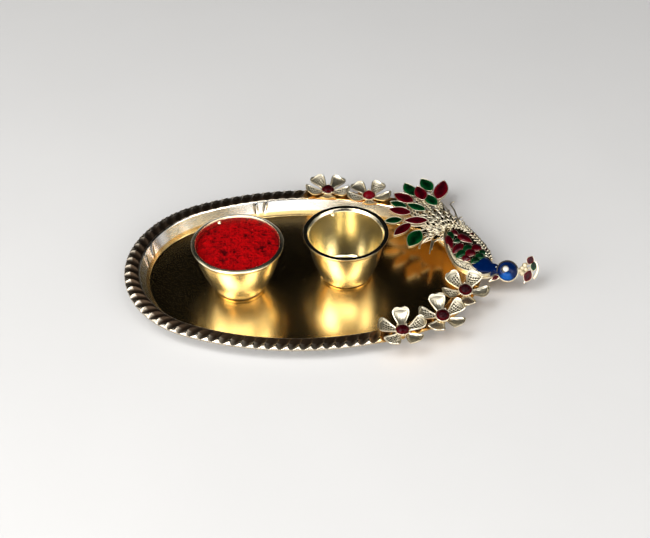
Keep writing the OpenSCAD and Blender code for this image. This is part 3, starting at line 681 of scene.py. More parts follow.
# The sheet's section as inset from the edge and height: up the inside of the
# wall and over the roll, the lip, and back below. The roll is an arc through the
# crown and the tops of the walls.
def traySection(t):
    rim = t["rimWidth"]
    wallTop = t["wallHeight"]
    foot = rim + t["wallRun"]
    rise = t["crown"] - wallTop
    rollR = ((rim / 2) ** 2 + rise ** 2) / (2 * rise)
    rollZ = t["crown"] - rollR
    wall = roundedLine([(foot + 7, t["sheet"]), (foot + 0.5, t["sheet"]), (rim + 0.1, wallTop - 0.3),
                        (rim - 0.5, wallTop + 0.1)], [1.6, 0.5])
    gap = int(np.argmax(np.linalg.norm(np.diff(wall, axis=0), axis=1)))
    share = np.linspace(0, 1, 10)[1:-1, None]
    slope = wall[gap] * (1 - share) + wall[gap + 1] * share
    across = np.linspace(rim - 0.8, 0.5, 29)
    roll = np.stack([across, rollZ + np.sqrt(rollR ** 2 - (across - rim / 2) ** 2)], 1)
    lowEdge = wallTop - t["edge"]
    lip = roundedLine([roll[-1], (0.0, wallTop), (0.0, lowEdge), (0.55, lowEdge)], [0.7, 0.25], 3)[1:]
    back = np.linspace(t["sheet"] + 0.2, rim - 1.3, 7)
    under = rollZ + np.sqrt((rollR - t["sheet"]) ** 2 - (back - rim / 2) ** 2) - t["scoopDepth"] * 0.6
    belowRoll = np.stack([back, under], 1)
    belowWall = roundedLine([belowRoll[-1], (rim - 0.9, wallTop - 1.1), (foot - 0.75, 0.0), (foot + 7, 0.0)],
                            [0.6, 1.8], 3)[1:]
    top = np.vstack([wall[:gap + 1], slope, wall[gap + 1:], roll])
    return top, lip, np.vstack([belowRoll, belowWall])


# Depth of a scoop as a share: (1 - s squared - v squared) to the 0.7, s and v its
# own coordinates, so neighbours meet in a ridge. It narrows towards the edge.
def scoopOf(t, inset, inFlute):
    middle = (t["scoopOuter"] + t["scoopInner"]) / 2
    reach = (t["scoopInner"] - t["scoopOuter"]) / 2
    outwards = np.clip((middle - inset) / reach, 0, 1)
    s = inFlute / (t["scoopWide"] * (1 - t["scoopTaper"] * outwards ** 2))
    v = (inset - middle) / reach
    return np.clip(1 - s ** 2 - v ** 2, 0, 1) ** 0.7


# Press creases in the wall: soft ridges along leaning lines, and a faint wave
def creaseOf(t, x, y, inset):
    up = inset - t["rimWidth"] - t["wallRun"] / 2
    crease = 0.25 * (planeNoise(x, y, 16.0, 9) - 0.5)
    for at, lean in t["creaseAt"]:
        crease = crease + bell(x, at - lean * up, t["creaseWide"]) * (y > 0)
    for at in t["creaseLeft"]:
        crease = crease + bell(y, at + t["creaseSlant"] * up, t["creaseWide"]) * (x < 0)
    return crease


# The sheet: the section carried round the oval, sheared by the flutes' slant,
# with the scoops cut down into it and the creases pushed in
def traySheet(t):
    o = ovalOf(t)
    top, lip, below = traySection(t)
    ring = np.vstack([top, lip, below])
    row = np.arange(len(ring))[:, None]
    isTop = row < len(top)
    onLip = ~isTop & (row < len(top) + len(lip))
    inset = ring[:, :1]
    isRim = inset < t["rimWidth"] - 0.2
    columns = t["flutes"] * t["perFlute"]
    shift = np.minimum(inset - t["rimWidth"] / 2, t["rimWidth"] / 2) * math.tan(math.radians(t["slant"]))
    x, y = onOval(o, np.arange(columns) * o["lap"] / columns + shift, inset)
    inFlute = np.mod(np.arange(columns) / t["perFlute"] + 0.5, 1.0) - 0.5
    scoop = np.where(isRim, scoopOf(t, inset, inFlute), 0)
    height = ring[:, 1:] * np.ones(columns)
    onEdge = 0.1 + 0.9 * ease(height, t["wallHeight"] - t["edge"], t["wallHeight"])
    height = height - t["scoopDepth"] * scoop * np.where(onLip, onEdge, np.where(isTop, 1.0, t["backScoop"]))
    height = height + t["bead"] * bell(inset, t["rimWidth"] - t["beadIn"], t["beadWide"]) * isTop
    height = height + isTop * isRim * t["rimWave"] * (planeNoise(x, y, 9.0, 3) - 0.5)
    onWall = isTop & (inset > t["rimWidth"])
    onWall = onWall * ease(height, *t["creaseFrom"]) * (1 - ease(height, *t["creaseTo"]))
    outX = x / (t["length"] / 2) ** 2
    outY = y / (t["width"] / 2) ** 2
    push = t["creaseHeight"] * creaseOf(t, x, y, inset) * onWall / np.hypot(outX, outY)
    x = x - push * outX
    y = y - push * outY
    points = pointsOf(x, y, height)
    flat = np.array([1.0, 1.0, 0.0])
    inner = points[0] * flat * np.array(t["floorRows"])[:, None, None] + [0, 0, t["sheet"]]
    inner[..., 2] += t["floorWave"] * (planeNoise(inner[..., 0], inner[..., 1], 34.0, 11) - 0.5)
    outer = points[-1] * flat * np.array(t["underRows"])[:, None, None]

    near = np.zeros_like(x)
    for label in "12345":
        at = nodeMiddle("flower_stone_" + label)
        near = np.maximum(near, np.exp(-(np.hypot(x - at[0], y - at[1]) / t["flowerReach"]) ** 4))
    onSkin = isRim & (isTop | onLip)
    # Painted dark reflection on the inner half of the roll, less near the flowers
    rimDarkReflection = ease(inset, *t["rimDarkReflectionFrom"]) * (1 - ease(inset, *t["rimDarkReflectionTo"])) * (1 - 0.8 * near) * isTop
    # Painted shade on the lip's outer face and its turned-under edge
    lipEdgeShade = bell(inset, 0.2, 0.7) * ease(t["wallHeight"] + 0.1 - height, 0, 0.5) * 0.2
    # Painted shade: the scoops darkened, together with the painted dark reflection and the painted shade on
    # the lip's edge
    hollow = np.maximum(np.maximum(scoop * onSkin, lipEdgeShade), t["rimDarkReflection"] * rimDarkReflection)
    # 1 keeps the sheet gold; the wall, and the rim away from the flowers, take the pale painted highlight
    onFloor = np.maximum((inset > t["rimWidth"] + t["wallRun"] - 1.2) & isTop, (0.45 + 0.55 * near) * onSkin)
    # Rows under the sheet, darkened with painted shade
    isUnder = row >= len(top) + len(lip) - 2

    # Values of all rows and both poles, the rows inside and below added
    def spread(inside, rows, beneath):
        rows = [np.full((len(inner), columns), inside), np.broadcast_to(rows, x.shape),
                np.full((len(outer), columns), beneath)]
        return np.append(np.concatenate(rows), [inside, beneath])

    # Painted warm reflection on the rim near the flowers
    amber = t["flowerWarmReflection"] * near * onSkin
    return cappedRings(np.concatenate([inner, points, outer]), [0, 0, t["sheet"]], [0, 0, 0.0],
                       hollow=spread(0.0, hollow, 0.0), onFloor=spread(1.0, onFloor, 0.0),
                       amber=spread(0.0, amber, 0.0), underside=spread(0.0, isUnder, 1.0))


buildPiece("fluted_tray", traySheet(tray), sheetGold, ["tray"], sharp=70)
print("tray built")

# Cups: one profile, two sizes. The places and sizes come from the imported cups.
cup = {"wall": 1.0, "neck": 3.8, "footStep": 0.4, "footHigh": 1.2, "lipThick": 0.75, "sides": 144,
       "pip": 1.25, "poleR": 2.0, "bottom": 1.3, "bowlFrom": 6.5}
# lipDarkReflection: painted dark reflection on the lip, at its near side and its far side
powderCup = {**cup, "node": "kumkum_cup", "foot": 16.0, "lipFlat": 2.45, "lipDrop": 0.9, "neckIn": 2.18,
             "lipDarkReflection": (0.0, 0.8), "belly": (0.84, 0.52), "pipTurn": 118.0}
emptyCup = {**cup, "node": "empty_cup", "foot": 16.3, "lipFlat": 2.8, "lipDrop": 0.0, "neckIn": 3.25,
            "lipDarkReflection": (0.62, 0.62), "belly": (0.88, 0.5), "pipTurn": 110.0}


# Outer radius and height of a packed cup
def cupSize(c):
    low, high = nodeBox(c["node"])
    return (high[0] - low[0]) / 2, high[2] - low[2]


# Side of a cup's bowl: a quadratic curve from the foot step to the neck, pushed
# to its left by a gap
def bellyLine(c, gap, count=26):
    r, h = cupSize(c)
    low = np.array([c["foot"] + c["footStep"], c["footHigh"]])
    top = np.array([r - c["neckIn"], h - c["neck"]])
    mid = np.array([low[0] + (top[0] - low[0]) * c["belly"][0], top[1] * c["belly"][1]])
    t = np.linspace(0, 1, count)[:, None]
    line = low * (1 - t) ** 2 + mid * 2 * t * (1 - t) + top * t * t
    way = (mid - low) * (1 - t) + (top - mid) * t
    return line + np.stack([-way[:, 1], way[:, 0]], 1) * gap / np.linalg.norm(way, axis=1, keepdims=True)


# Cup: a profile from under the foot, up the outside, over the flat lip, down
# the flare inside it and to the middle of the bowl
def cupPart(c):
    r, h = cupSize(c)
    at = np.array([*nodeMiddle(c["node"])[:2], nodeBox(c["node"])[0][2]])
    outside = bellyLine(c, 0.0)
    inside = bellyLine(c, c["wall"])
    top = outside[-1]
    foot = roundedLine([(c["poleR"], 0.0), (c["foot"] - 0.5, 0.0), (c["foot"], c["footHigh"] * 0.7),
                        outside[0]], [0.7, 0.2])
    out = h - c["lipDrop"]
    flat = r - c["lipFlat"]
    lip = roundedLine(
        [top + [0.3, 0.12], (flat + 1.0, out - c["lipThick"] * 1.5), (r - 0.05, out - c["lipThick"]),
         (r, out - 0.15), (r - 0.15, out), (r - c["lipFlat"] * 0.72, out * 0.3 + (h - 0.04) * 0.7),
         (flat, h - 0.06), (r - c["neckIn"] - 0.8, h - 1.6), inside[-1] + [0.02, 0.2]],
        [0.7, 0.3, 0.15, 0.15, 0.05, 0.3, 0.7], 4)
    inside = inside[inside[:, 1] > c["bowlFrom"]]
    bottom = roundedLine([inside[0], (c["foot"] - 0.6, c["bottom"]), (c["poleR"], c["bottom"])], [4.5], 12)
    line = np.vstack([foot, outside[1:], lip, inside[::-1], bottom])
    line = line[np.append(True, np.linalg.norm(np.diff(line, axis=0), axis=1) > 0.02)]
    x, z = line.T
    # Painted shade: a dark line under the neck, one over the foot and under the foot
    inNeck = bell(z, top[1] + 0.1, 0.22) * (x > top[0] - 0.4)
    overFoot = 0.8 * bell(z, c["footHigh"], 0.2) * (x > c["foot"] - 0.3)
    underFoot = (1 - ease(z, 0.1, 0.6)) * (x > c["foot"] - 1.5)
    hollow = np.maximum(np.maximum(inNeck, overFoot), underFoot)
    # Painted dark reflection on the flat lip, graded from its near side to its far side
    onLip = ease(x, r - c["lipFlat"] * 0.8, r - c["lipFlat"] * 0.6) * ease(z, h - 0.3, h - 0.15)
    near, far = c["lipDarkReflection"]
    lipDarkReflection = near + (far - near) * ease(np.sin(roundAngles(c["sides"])), -0.1, 0.35)
    hollow = np.maximum(hollow[:, None], onLip[:, None] * lipDarkReflection)
    within = np.arange(len(line)) > len(line) - len(inside) - len(bottom)

    def wobble(rr, zz, angle):
        return rr + 0.1 * np.sin(2 * angle + c["foot"]) * (zz / h) + 0.04 * np.sin(5 * angle) * (zz / h), zz

    body = turnedPart(line, c["sides"], 0.0, c["bottom"], at, wobble, hollow=np.append(hollow, [0, 0]),
                      inner=np.append(np.repeat(within, c["sides"]), [0, 1]))
    turn = math.radians(c["pipTurn"])
    reach = inside[-1][0] - 0.1
    pipAt = at + np.array([reach * math.cos(turn), reach * math.sin(turn), h - c["neck"] * 0.85])
    return joinParts([body, ballPart(pipAt, c["pip"], 0.9, hollow=0.0)])


buildPiece("powder_cup_shell", cupPart(powderCup), cupGold, ["kumkum_cup"], onPowderCup)
buildPiece("empty_cup_shell", cupPart(emptyCup), cupGold, ["empty_cup"], onEmptyCup)
print("cups built")

powder = {
    "rings": 100,
    "sides": 540,
    "drop": 3.7,            # of its edge below the lip
    "edge": 0.55,
    "heap": 2.3,
    "slope": (0.034, -0.022),
    "gap": 0.2,
    "lumps": ((8.0, 0.5), (4.0, 0.8), (2.2, 1.0), (1.2, 0.7), (0.65, 0.35)),       # across and high
}


# Powder: a low heap whose skin is broken into lumps. Its height is heap * (1 -
# share cubed) and the sum of the noises, each folded at its middle and rooted.
def powderPart(p):
    low, high = nodeBox("kumkum_powder")
    cupLow, cupHigh = nodeBox("kumkum_cup")
    edgeR = (high[0] - low[0]) / 2 + p["edge"]
    edgeZ = cupHigh[2] - p["drop"]
    share = np.linspace(0, 1, p["rings"] + 1)[1:, None]
    a = roundAngles(p["sides"])
    x = share * edgeR * np.cos(a)
    y = share * edgeR * np.sin(a)
    skin = np.zeros_like(x)
    for k, (cell, size) in enumerate(p["lumps"]):
        folded = 1 - np.abs(2 * planeNoise(x + 3 * k, y - 5 * k, cell, 40 + k) - 1)
        skin += size * (np.sqrt(folded) - 0.75)
    calm = 1 - ease(share, 0.93, 1.0) * 0.75
    dome = p["heap"] * (1 - share ** 3) + p["slope"][0] * x + p["slope"][1] * y
    z = np.minimum(edgeZ + dome + skin * calm, cupHigh[2] - 0.15)
    rough = sum(size for cell, size in p["lumps"])
    # Painted shade in the clefts between the lumps
    hollow = np.clip(0.4 - skin / rough * 1.9, 0, 1)
    side = bellyLine(powderCup, powderCup["wall"] + p["gap"], 20)
    side = side[(side[:, 1] + cupLow[2] < edgeZ - 0.8) & (side[:, 1] > 1.9)][::-1]
    side = pointsOf(side[:, :1] * np.cos(a), side[:, :1] * np.sin(a), side[:, 1:] + cupLow[2])
    # Painted shade on the heap's side under its skin
    beneath = 0.4
    values = np.append(hollow, np.full(side.shape[:2], beneath))
    part = cappedRings(np.concatenate([pointsOf(x, y, z), side]), [0, 0, z[0].mean()], [0, 0, side[-1, 0, 2]],
                       hollow=np.append(values, [hollow[0].mean(), beneath]))
    return placePart(part, move=(*nodeMiddle("kumkum_powder")[:2], 0))


buildPiece("powder_heap", powderPart(powder), redPowder, ["kumkum_powder"], onPowderCup,
           sharp=0)
print("powder built")

# Flowers: five petals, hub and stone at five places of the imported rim. A petal
# that points over the tray stands higher than one that points outwards. The last
# five entries hold one value for each flower.
flower = {
    "across": 31.0,
    "petalWide": 11.2,
    "widthAt": (0.0, 0.15, 0.35, 0.55, 0.68, 0.78, 1.0),        # shares along a petal
    "widthShare": (0.30, 0.38, 0.58, 0.82, 0.95, 1.0, 1.0),
    "thick": 0.7,
    "lift": 3.2,
    "lean": 2.0,
    "cupDeep": 1.5,
    "rim": 0.55,
    "hub": 9.4,
    "hubHigh": 1.6,
    "stone": 8.3,
    "pitch": 1.6,           # of the cast mesh
    "pitDeep": 0.5,
    "rows": 72,
    "columns": 56,
    "hubSides": 56,
    "stoneSides": 80,
    "riseByTilt": 0.07,     # mm for a degree
    "faces": (-90, -90, -75, 60, 90),
    "phases": (22, 32, 57, 52, 54),
    "tilts": (4, 18, 18, 3, 8),
    # bright: painted light added to each stone's colour, most on the fifth, which is light red all over
    "bright": (0.1, 0.0, 0.0, 0.1, 1.5),
    "meshed": ((1, 0, 1, 1, 0), (1, 0, 1, 0, 0), (1, 1, 1, 0, 0), (0, 1, 1, 0, 1), (1, 0, 1, 1, 0)),
}


# Petal: a spoon with a rolled rim all round and a turned-up tip. Along u,
# across v: height = lift * u to the 1.8 + cup * v squared, plus a rim at a set
# distance from the edge, less the pits of the cast mesh.
def petalPart(f, meshed, lift, seed):
    draw = np.random.default_rng(seed)
    u = np.linspace(0, 1, f["rows"])[:, None]
    u = np.sin(u * np.pi / 2) * 0.35 + u * 0.65
    v = np.linspace(-1, 1, f["columns"])[None, :]
    root = f["hub"] * 0.3
    long = f["across"] / 2 - root
    half = f["petalWide"] / 2 * np.interp(u, f["widthAt"], f["widthShare"])
    half = half * (1 + 0.03 * draw.standard_normal())
    half = half * np.sqrt(np.clip(1 - (np.clip(u - 0.76, 0, 1) / 0.255) ** 2.4, 0.03, 1))
    x = root + long * u
    y = half * v + draw.normal(0, 0.3) * u ** 2
    fromEdge = np.minimum((1 - np.abs(v)) * half, (1.01 - u) * long - 0.9 * v ** 2 * half * u ** 6)
    smooth = f["thick"] + lift * u ** 1.8 + f["cupDeep"] * v ** 2 * half / (f["petalWide"] / 2)
    smooth = smooth - 0.3 * bell(u, 0.55, 0.2) * (1 - v ** 2) + 0.8 * ease(u, 0.8, 1.0)
    rim = f["rim"] * bell(fromEdge, 0.6, 0.42)
    zone = ease(fromEdge, 1.0, 1.3) * ease(u, 0.1, 0.16) * (1 - ease(u, 0.76, 0.82))
    across = np.mod(y / f["pitch"] + 0.5 * draw.random(), 1.0)
    along = np.mod(x / f["pitch"] + 0.2 * y / f["pitch"], 1.0)
    hole = [1 - np.abs(place - 0.5) * 2 for place in (across, along)]
    # Painted shade in the pits of the cast mesh
    pit = ease(np.minimum(*hole), 0.15, 0.42) if meshed else 0.16 * ease(hole[0], 0.5, 0.95)
    pit = pit * zone
    # Painted shade towards the tip, along the inside of the rim and at the root
    shade = 0.35 * ease(u, 0.72, 0.86) * ease(fromEdge, 0.9, 1.6) + 0.14 * ease(fromEdge, 1.0, 1.6)
    shade = shade + 0.3 * (1 - ease(u, 0.0, 0.14)) + 0.4 * bell(fromEdge, 1.3, 0.25)
    top = pointsOf(x, y, smooth + rim - f["pitDeep"] * pit)
    low = pointsOf(x, y * 0.99, smooth - f["thick"] + 0.05)
    return slabPart(top, low, hollow=np.clip(pit + shade, 0, 1))


# Hub: a turned boss with a groove, a rolled rim and five grains that hold the stone
def hubPart(f):
    r = f["hub"] / 2
    seat = f["stone"] / 2 + 0.06
    z = f["hubHigh"]
    groove = 0.85
    line = roundedLine([(0.9, 0.05), (r * 0.9, 0.05), (r, 0.5), (r - 0.25, groove), (r, 1.15), (r, z + 0.45),
                        (seat, z + 0.62), (seat, z), (0.9, z)], [0.2, 0.3, 0.15, 0.2, 0.25, 0.2, 0.1], 3)
    # Painted shade in the groove
    hollow = np.repeat(bell(line[:, 1], groove, 0.25), f["hubSides"])
    parts = [turnedPart(line, f["hubSides"], 0.05, z, hollow=np.append(hollow, [0, 0]))]
    for k in range(5):
        a = math.radians(36 + 72 * k)
        parts.append(ballPart((math.cos(a) * r, math.sin(a) * r, z + 0.75), 0.62, 1.0, 6, 12, hollow=0.0))
    return joinParts(parts)


# Stone: a dome, high * (1 - share cubed), cut into ten soft facets
def stonePart(f, high, bright):
    r = f["stone"] / 2
    t = np.linspace(0.1, 1, 18)
    line = np.stack([r * t, high * (1 - t ** 3.0)], 1)

    def wobble(rr, zz, angle):
        facet = np.abs(np.mod(angle * 5 / np.pi, 1.0) - 0.5)
        return rr, zz + 0.24 * (facet - 0.25) * np.sin(np.pi * np.clip(rr / r, 0, 1))

    # Paler towards the rim, plus the painted light of bright
    edge = np.append(np.repeat(0.5 * ease(t, 0.55, 1.0), f["stoneSides"]), [0, 0]) + bright
    return turnedPart(line, f["stoneSides"], high * 0.999, 0.0, wobble=wobble, edge=edge)


for index in range(5):
    label = str(index + 1)
    low, high = nodeBox("flower_stone_" + label)
    tall = high[2] - low[2]
    at = (*nodeMiddle("flower_stone_" + label)[:2], nodeBox("flower_" + label)[0][2])
    phase, tilt = flower["phases"][index], flower["tilts"][index]
    rise = flower["riseByTilt"] * tilt
    parts = []
    for k in range(5):
        turn = phase + 72 * k
        lift = flower["lift"] - flower["lean"] * math.cos(math.radians(turn - flower["faces"][index]))
        petal = petalPart(flower, flower["meshed"][index][k], lift, 100 + 10 * index + k)
        parts.append(placePart(petal, turn=turn))
    parts.append(placePart(placePart(hubPart(flower), phase, (0, 0, rise)), tiltX=tilt))
    buildPiece("cast_flower_" + label, placePart(joinParts(parts), move=at), castMetal,
               ["flower_" + label], sharp=55)
    stone = placePart(stonePart(flower, tall, flower["bright"][index]), move=(0, 0, low[2] - at[2] + rise))
    buildPiece("red_stone_" + label, placePart(stone, move=at, tiltX=tilt), redStone,
               ["flower_stone_" + label], sharp=22)
print("flowers built")

# Peacock: laid out from the middle of the crown at the right end, as packed
enamels = {"red": redEnamel, "green": greenEnamel}
bodyLow, bodyHigh = nodeBox("peacock_body")
bird = {
    "at": np.array([trayHigh[0] - tray["rimWidth"] / 2, 0.0, bodyLow[2]]),
    "tailLong": 60.0,
    "bodyLong": 44.0,
    "bodyWide": 25.0,
    "bodyHigh": bodyHigh[2] - bodyLow[2],
    "bodyEdge": 2.0,
    "axisTurn": -67.7,
    "tailRoot": (-0.29, 0.66),
    "bodyMiddle": (-0.08, 0.15),
    "leafBorder": 0.34,
    "leafHigh": 1.95,
}
birdAt = bird["at"]
tailRoot = np.array(bird["tailRoot"]) * bird["bodyLong"]
bodyMiddle = np.array(bird["bodyMiddle"]) * bird["bodyLong"]
# Leaves: base and tip from the root as shares of the tail's reach, width, tilt in
# degrees, height over the stem in mm
leafRows = {
    "red": ((-0.458, 0.13, -0.65, -0.087, 0.105, 10, 0.1), (-0.262, 0.163, -0.525, 0.163, 0.1, 9, 0.7),
            (-0.442, 0.305, -0.69, 0.38, 0.11, 8, 0.5), (-0.408, 0.497, -0.615, 0.663, 0.13, 6, 0.5),
            (-0.283, 0.53, -0.342, 0.785, 0.135, -4, 0.6), (-0.117, 0.547, -0.025, 0.888, 0.15, -9, 0.3)),
    "green": ((-0.55, 0.197, -0.75, 0.163, 0.09, 12, 0.3), (-0.362, -0.012, -0.5, -0.287, 0.15, -10, 0.4),
              (-0.485, 0.415, -0.667, 0.522, 0.095, 12, 0.0), (-0.385, 0.613, -0.483, 0.86, 0.135, 8, 0.0),
              (-0.275, 0.353, -0.475, 0.472, 0.095, 12, 0.2), (-0.142, 0.438, -0.262, 0.65, 0.115, -8, 0.1),
              (-0.183, 0.705, -0.283, 0.935, 0.135, -6, 0.2)),
}


# Step in the plan along a turn in degrees
def stepOf(turn, reach=1.0):
    return reach * np.array([math.cos(math.radians(turn)), math.sin(math.radians(turn))])


# Base, tip, length, width and turn of a leaf in mm, in the bird's own plan. A leaf
# that lies along X is made wider, and tilts by 7 degrees in place of its own tilt.
def leafOf(row):
    base, tip = (tailRoot + bird["tailLong"] * np.array(row[k:k + 2]) for k in (0, 2))
    way = tip - base
    turn = math.atan2(way[1], way[0])
    lying = math.cos(turn)
    return {"base": base, "tip": tip, "over": row[6], "long": np.linalg.norm(way) * 1.04,
            "wide": bird["tailLong"] * row[4] * (1.06 + 0.16 * abs(lying)), "turn": math.degrees(turn),
            "tilt": row[5] * (1 - abs(lying)) + 7 * lying}


# Half width of a leaf at shares along it, fullest a little before its middle:
# the sine of half a turn * share to the 0.9, to the 0.8
def leafHalf(wide, share):
    return wide / 2 * np.sin(np.pi * np.clip(share, 0, 1) ** 0.9) ** 0.8


# Leaf plate with a rolled silver border, its middle at the origin, along X
def leafCup(leaf, border, high):
    share = closingShares(40)
    half = leafHalf(leaf["wide"] - border, share)
    x = (share - 0.5) * (leaf["long"] - border)
    rim = np.vstack([np.stack([x, half], 1), np.stack([x, -half], 1)[::-1][1:-1]])
    rim = np.hstack([rim, np.full((len(rim), 1), high - border)])
    # Painted shade: a little on the border, more on the plate under the enamel
    wire = wirePart(rim, border * 0.75, border * 1.1, sides=10, closed=True, hollow=0.1)
    y = half[:, None] * np.linspace(-1, 1, 13)
    top, low = (pointsOf(x[:, None], y, z) for z in (high * 0.42, 0.05))
    return joinParts([wire, slabPart(top, low, hollow=0.5)])


# Enamel in a leaf: domed between the borders, dipping along the middle. The dome
# is the root of (1 - v squared) * (1 - u squared), u along from -1 to 1.
def leafPool(leaf, border, high):
    share = closingShares(44)[:, None]
    x = (share - 0.5) * (leaf["long"] - border * 1.2)
    v = np.linspace(-1, 1, 21)[None]
    y = leafHalf(leaf["wide"] - border * 1.1, share) * v
    ends = (2 * share - 1) ** 2
    swell = np.sqrt(np.clip(1 - v ** 2, 0, 1)) * np.sqrt(np.clip(1 - ends, 0, 1))
    z = high * 0.75 + 0.75 * swell - 0.25 * bell(v, 0, 0.2) * (1 - ends)
    edge = np.clip(np.abs(v) ** 3 + ends ** 4, 0, 1)
    return slabPart(pointsOf(x, y, z), pointsOf(x, y, high * 0.4), edge=edge)


# Puts a leaf's part on its stem, tilted about its own length
def ontoStem(part, leaf):
    middle = (leaf["base"] + leaf["tip"]) / 2
    return placePart(part, leaf["turn"], birdAt + [*middle, 0.9 + leaf["over"]], leaf["tilt"])


# Drop-shaped barb from a point along a direction, swelling to its middle
def barbPart(start, turn, long):
    t = np.linspace(0, 1, 7)
    high = 0.7
    plan = t[:, None] * stepOf(turn, long)
    path = start + np.column_stack([plan, high * 0.5 * np.sin(np.pi * t)])
    swell = 0.12 + 0.88 * np.sin(np.pi * t ** 1.25) ** 0.8
    return wirePart(path, (0.2 + 0.1 * long) * swell, high * swell, sides=7, hollow=0.0)


# Feather: a wire with slanted drops on both sides over a strip whose top is
# painted shade, dark where the gaps of the open work are. Its first drops stand
# at the end of the bare stretch, and grow along it if asked.
def featherPart(path, seed, drop, step, lean, bare, wire=0.3, strip=1.9, grow=0.0, under=0.55):
    draw = np.random.default_rng(seed)
    path = respace(path, 40)
    run = runOf(path)
    t = run / run[-1]
    sides = 8
    wideAt = strip * np.clip(4 * t + 0.35, 0, 1) * np.clip(5 * (1 - t) + 0.15, 0, 1)
    above = np.tile(np.sin(roundAngles(sides)) > -0.1, len(path))
    parts = [wirePart(path, wire * (1.15 - 0.5 * t), sides=sides, hollow=0.0),
             wirePart(path - [0, 0, under], wideAt, 0.22, sides=sides, hollow=np.append(above, [1, 1]))]
    for k in range(int((run[-1] - bare - drop * 0.5) / step) + 1):
        at = bare + k * step
        spot = alongLine(path, run, at)
        ahead = alongLine(path, run, at + 0.5) - spot
        turn = math.degrees(math.atan2(ahead[1], ahead[0]))
        for way in (-1, 1):
            size = drop * draw.uniform(0.88, 1.1) * min(1.0, 1 - grow + grow * at / 12)
            parts.append(barbPart(spot, turn + way * (lean + draw.normal(0, 4)), size))
    return joinParts(parts)


# Path of a stem from the tail's root to a place, arching over the rim
def stemPath(target, arch, start):
    t = np.linspace(start, 1, 16)[:, None]
    lift = 1.0 + arch * np.sin(np.pi * t ** 0.8)
    return np.hstack([tailRoot + (target - tailRoot) * t, lift]) + birdAt


# Line through plan places at one height
def planLine(places, high, steps=8):
    return smoothLine(np.column_stack([places, np.full(len(places), high)]), steps)


# A band through plan places, thinning towards its end
def looseWire(places, high, wide, thick):
    line = planLine(places, high) + birdAt
    t = np.linspace(0, 1, len(line))
    return wirePart(line, wide * (1 - 0.4 * t), thick * (1 - 0.3 * t), sides=10, hollow=0.0)


# Plate under the body that gathers the stems, and the tongue with its rivet
gather = {"across": 6.1, "thick": 1.1, "edge": ((0.985, 0.0), (1.0, 0.15), (1.0, 0.85), (0.98, 1.0))}
tongue = {"from": (-0.27, 0.77), "to": (-0.16, 0.60), "wide": 4.3, "thick": 1.3}


# Turned plate at the tail's root
def gatherPart(g):
    line = np.array(g["edge"]) * [g["across"], g["thick"]]
    # Painted shade on the plate
    return turnedPart(line, 40, 0.0, g["thick"], birdAt + [*tailRoot, 0], hollow=0.6)


# Thin plate between two places, with round ends
def tonguePart(s):
    path = respace(np.array([s["from"], s["to"]]) * bird["bodyLong"], 8)
    path = np.column_stack([path, np.full(8, s["thick"] / 2)]) + birdAt
    # Painted shade on the tongue
    return wirePart(path, s["wide"], s["thick"] / 2, sides=16, hollow=0.3)


stems = {"arches": (0.5, 1.1, 0.8), "drop": 2.8, "step": 2.6, "lean": 28, "bare": 20.0, "wire": 0.28}
# Rows of barbs that fan out over the stems: direction in degrees and reach in mm
fan = {
    "rows": ((203, 16), (189, 19), (174, 21), (160, 23), (147, 25), (134, 26), (121, 27), (108, 26), (95, 23),
             (80, 16)),
    "arches": (1.7, 1.3),
    "shape": {"drop": 5.0, "step": 4.3, "lean": 25, "wire": 0.36, "strip": 2.5, "bare": 2.0, "grow": 0.4,
              "under": 1.0},
}
# Bands and loose wires of the tail: plan places in mm from the crown, height of
# the middle, half width and half height of the band
tailWires = (
    (((-35.6, 11.6), (-34.5, 16.4), (-31.5, 18.5), (-29.0, 19.9), (-26.7, 20.6)), 1.0, 0.75, 0.5),
    (((-25.3, 26.9), (-26.5, 20.6), (-27.8, 13.0), (-29.2, 5.8)), 1.2, 0.7, 0.5),
    (((-27.8, 10.4), (-26.4, 16.8), (-24.8, 19.2), (-22.5, 20.4), (-19.3, 19.7), (-17.4, 17.1)),
     1.0, 0.85, 0.55),
    (((-34.3, 20.5), (-32.0, 23.5), (-28.8, 25.2), (-26.7, 27.6), (-26.2, 30.6)), 1.4, 0.5, 0.45),
    (((-29.9, 32.2), (-26.3, 31.4), (-23.1, 29.4), (-20.4, 27.4), (-17.0, 23.5)), 1.9, 0.8, 0.5),
    (((-39.5, 35.0), (-36.3, 34.3), (-33.0, 34.8), (-29.8, 34.1)), 1.6, 0.65, 0.45),
    (((-38.8, 47.0), (-36.2, 44.4), (-33.2, 42.1), (-31.7, 41.2)), 1.7, 0.7, 0.45),
    (((-28.7, 52.9), (-26.5, 49.7), (-23.7, 45.3), (-20.9, 40.2), (-18.2, 34.0), (-15.4, 29.1)),
     2.5, 0.6, 0.5),
    (((-3.6, 21.5), (-7.1, 27.0), (-9.3, 33.8), (-11.0, 42.4), (-13.2, 49.3), (-15.6, 55.1), (-18.0, 60.2)),
     1.6, 0.5, 0.42),
    (((-7.0, 36.0), (-8.5, 43.6), (-9.3, 49.2), (-10.6, 53.7), (-11.6, 56.2), (-10.8, 58.7), (-8.9, 59.9)),
     1.9, 0.65, 0.45),
    (((-5.5, 30.4), (-6.5, 34.9), (-7.3, 39.8), (-6.3, 42.3), (-4.7, 42.6)), 1.9, 0.7, 0.45),
    (((-2.4, 27.6), (-2.9, 31.1), (-3.8, 34.8), (-3.2, 36.6)), 1.8, 0.6, 0.4))
# Small feathers behind the bands: plan places, drop length and step in mm
smallFeathers = (
    (((-33.6, 17.4), (-30.6, 20.6), (-27.6, 22.6)), 1.9, 1.5),
    (((-27.0, 28.6), (-22.6, 26.4), (-18.6, 22.2)), 2.4, 1.8),
    (((-0.4, 24.0), (-2.6, 29.0), (-4.6, 34.0), (-6.0, 39.0)), 3.2, 2.3))

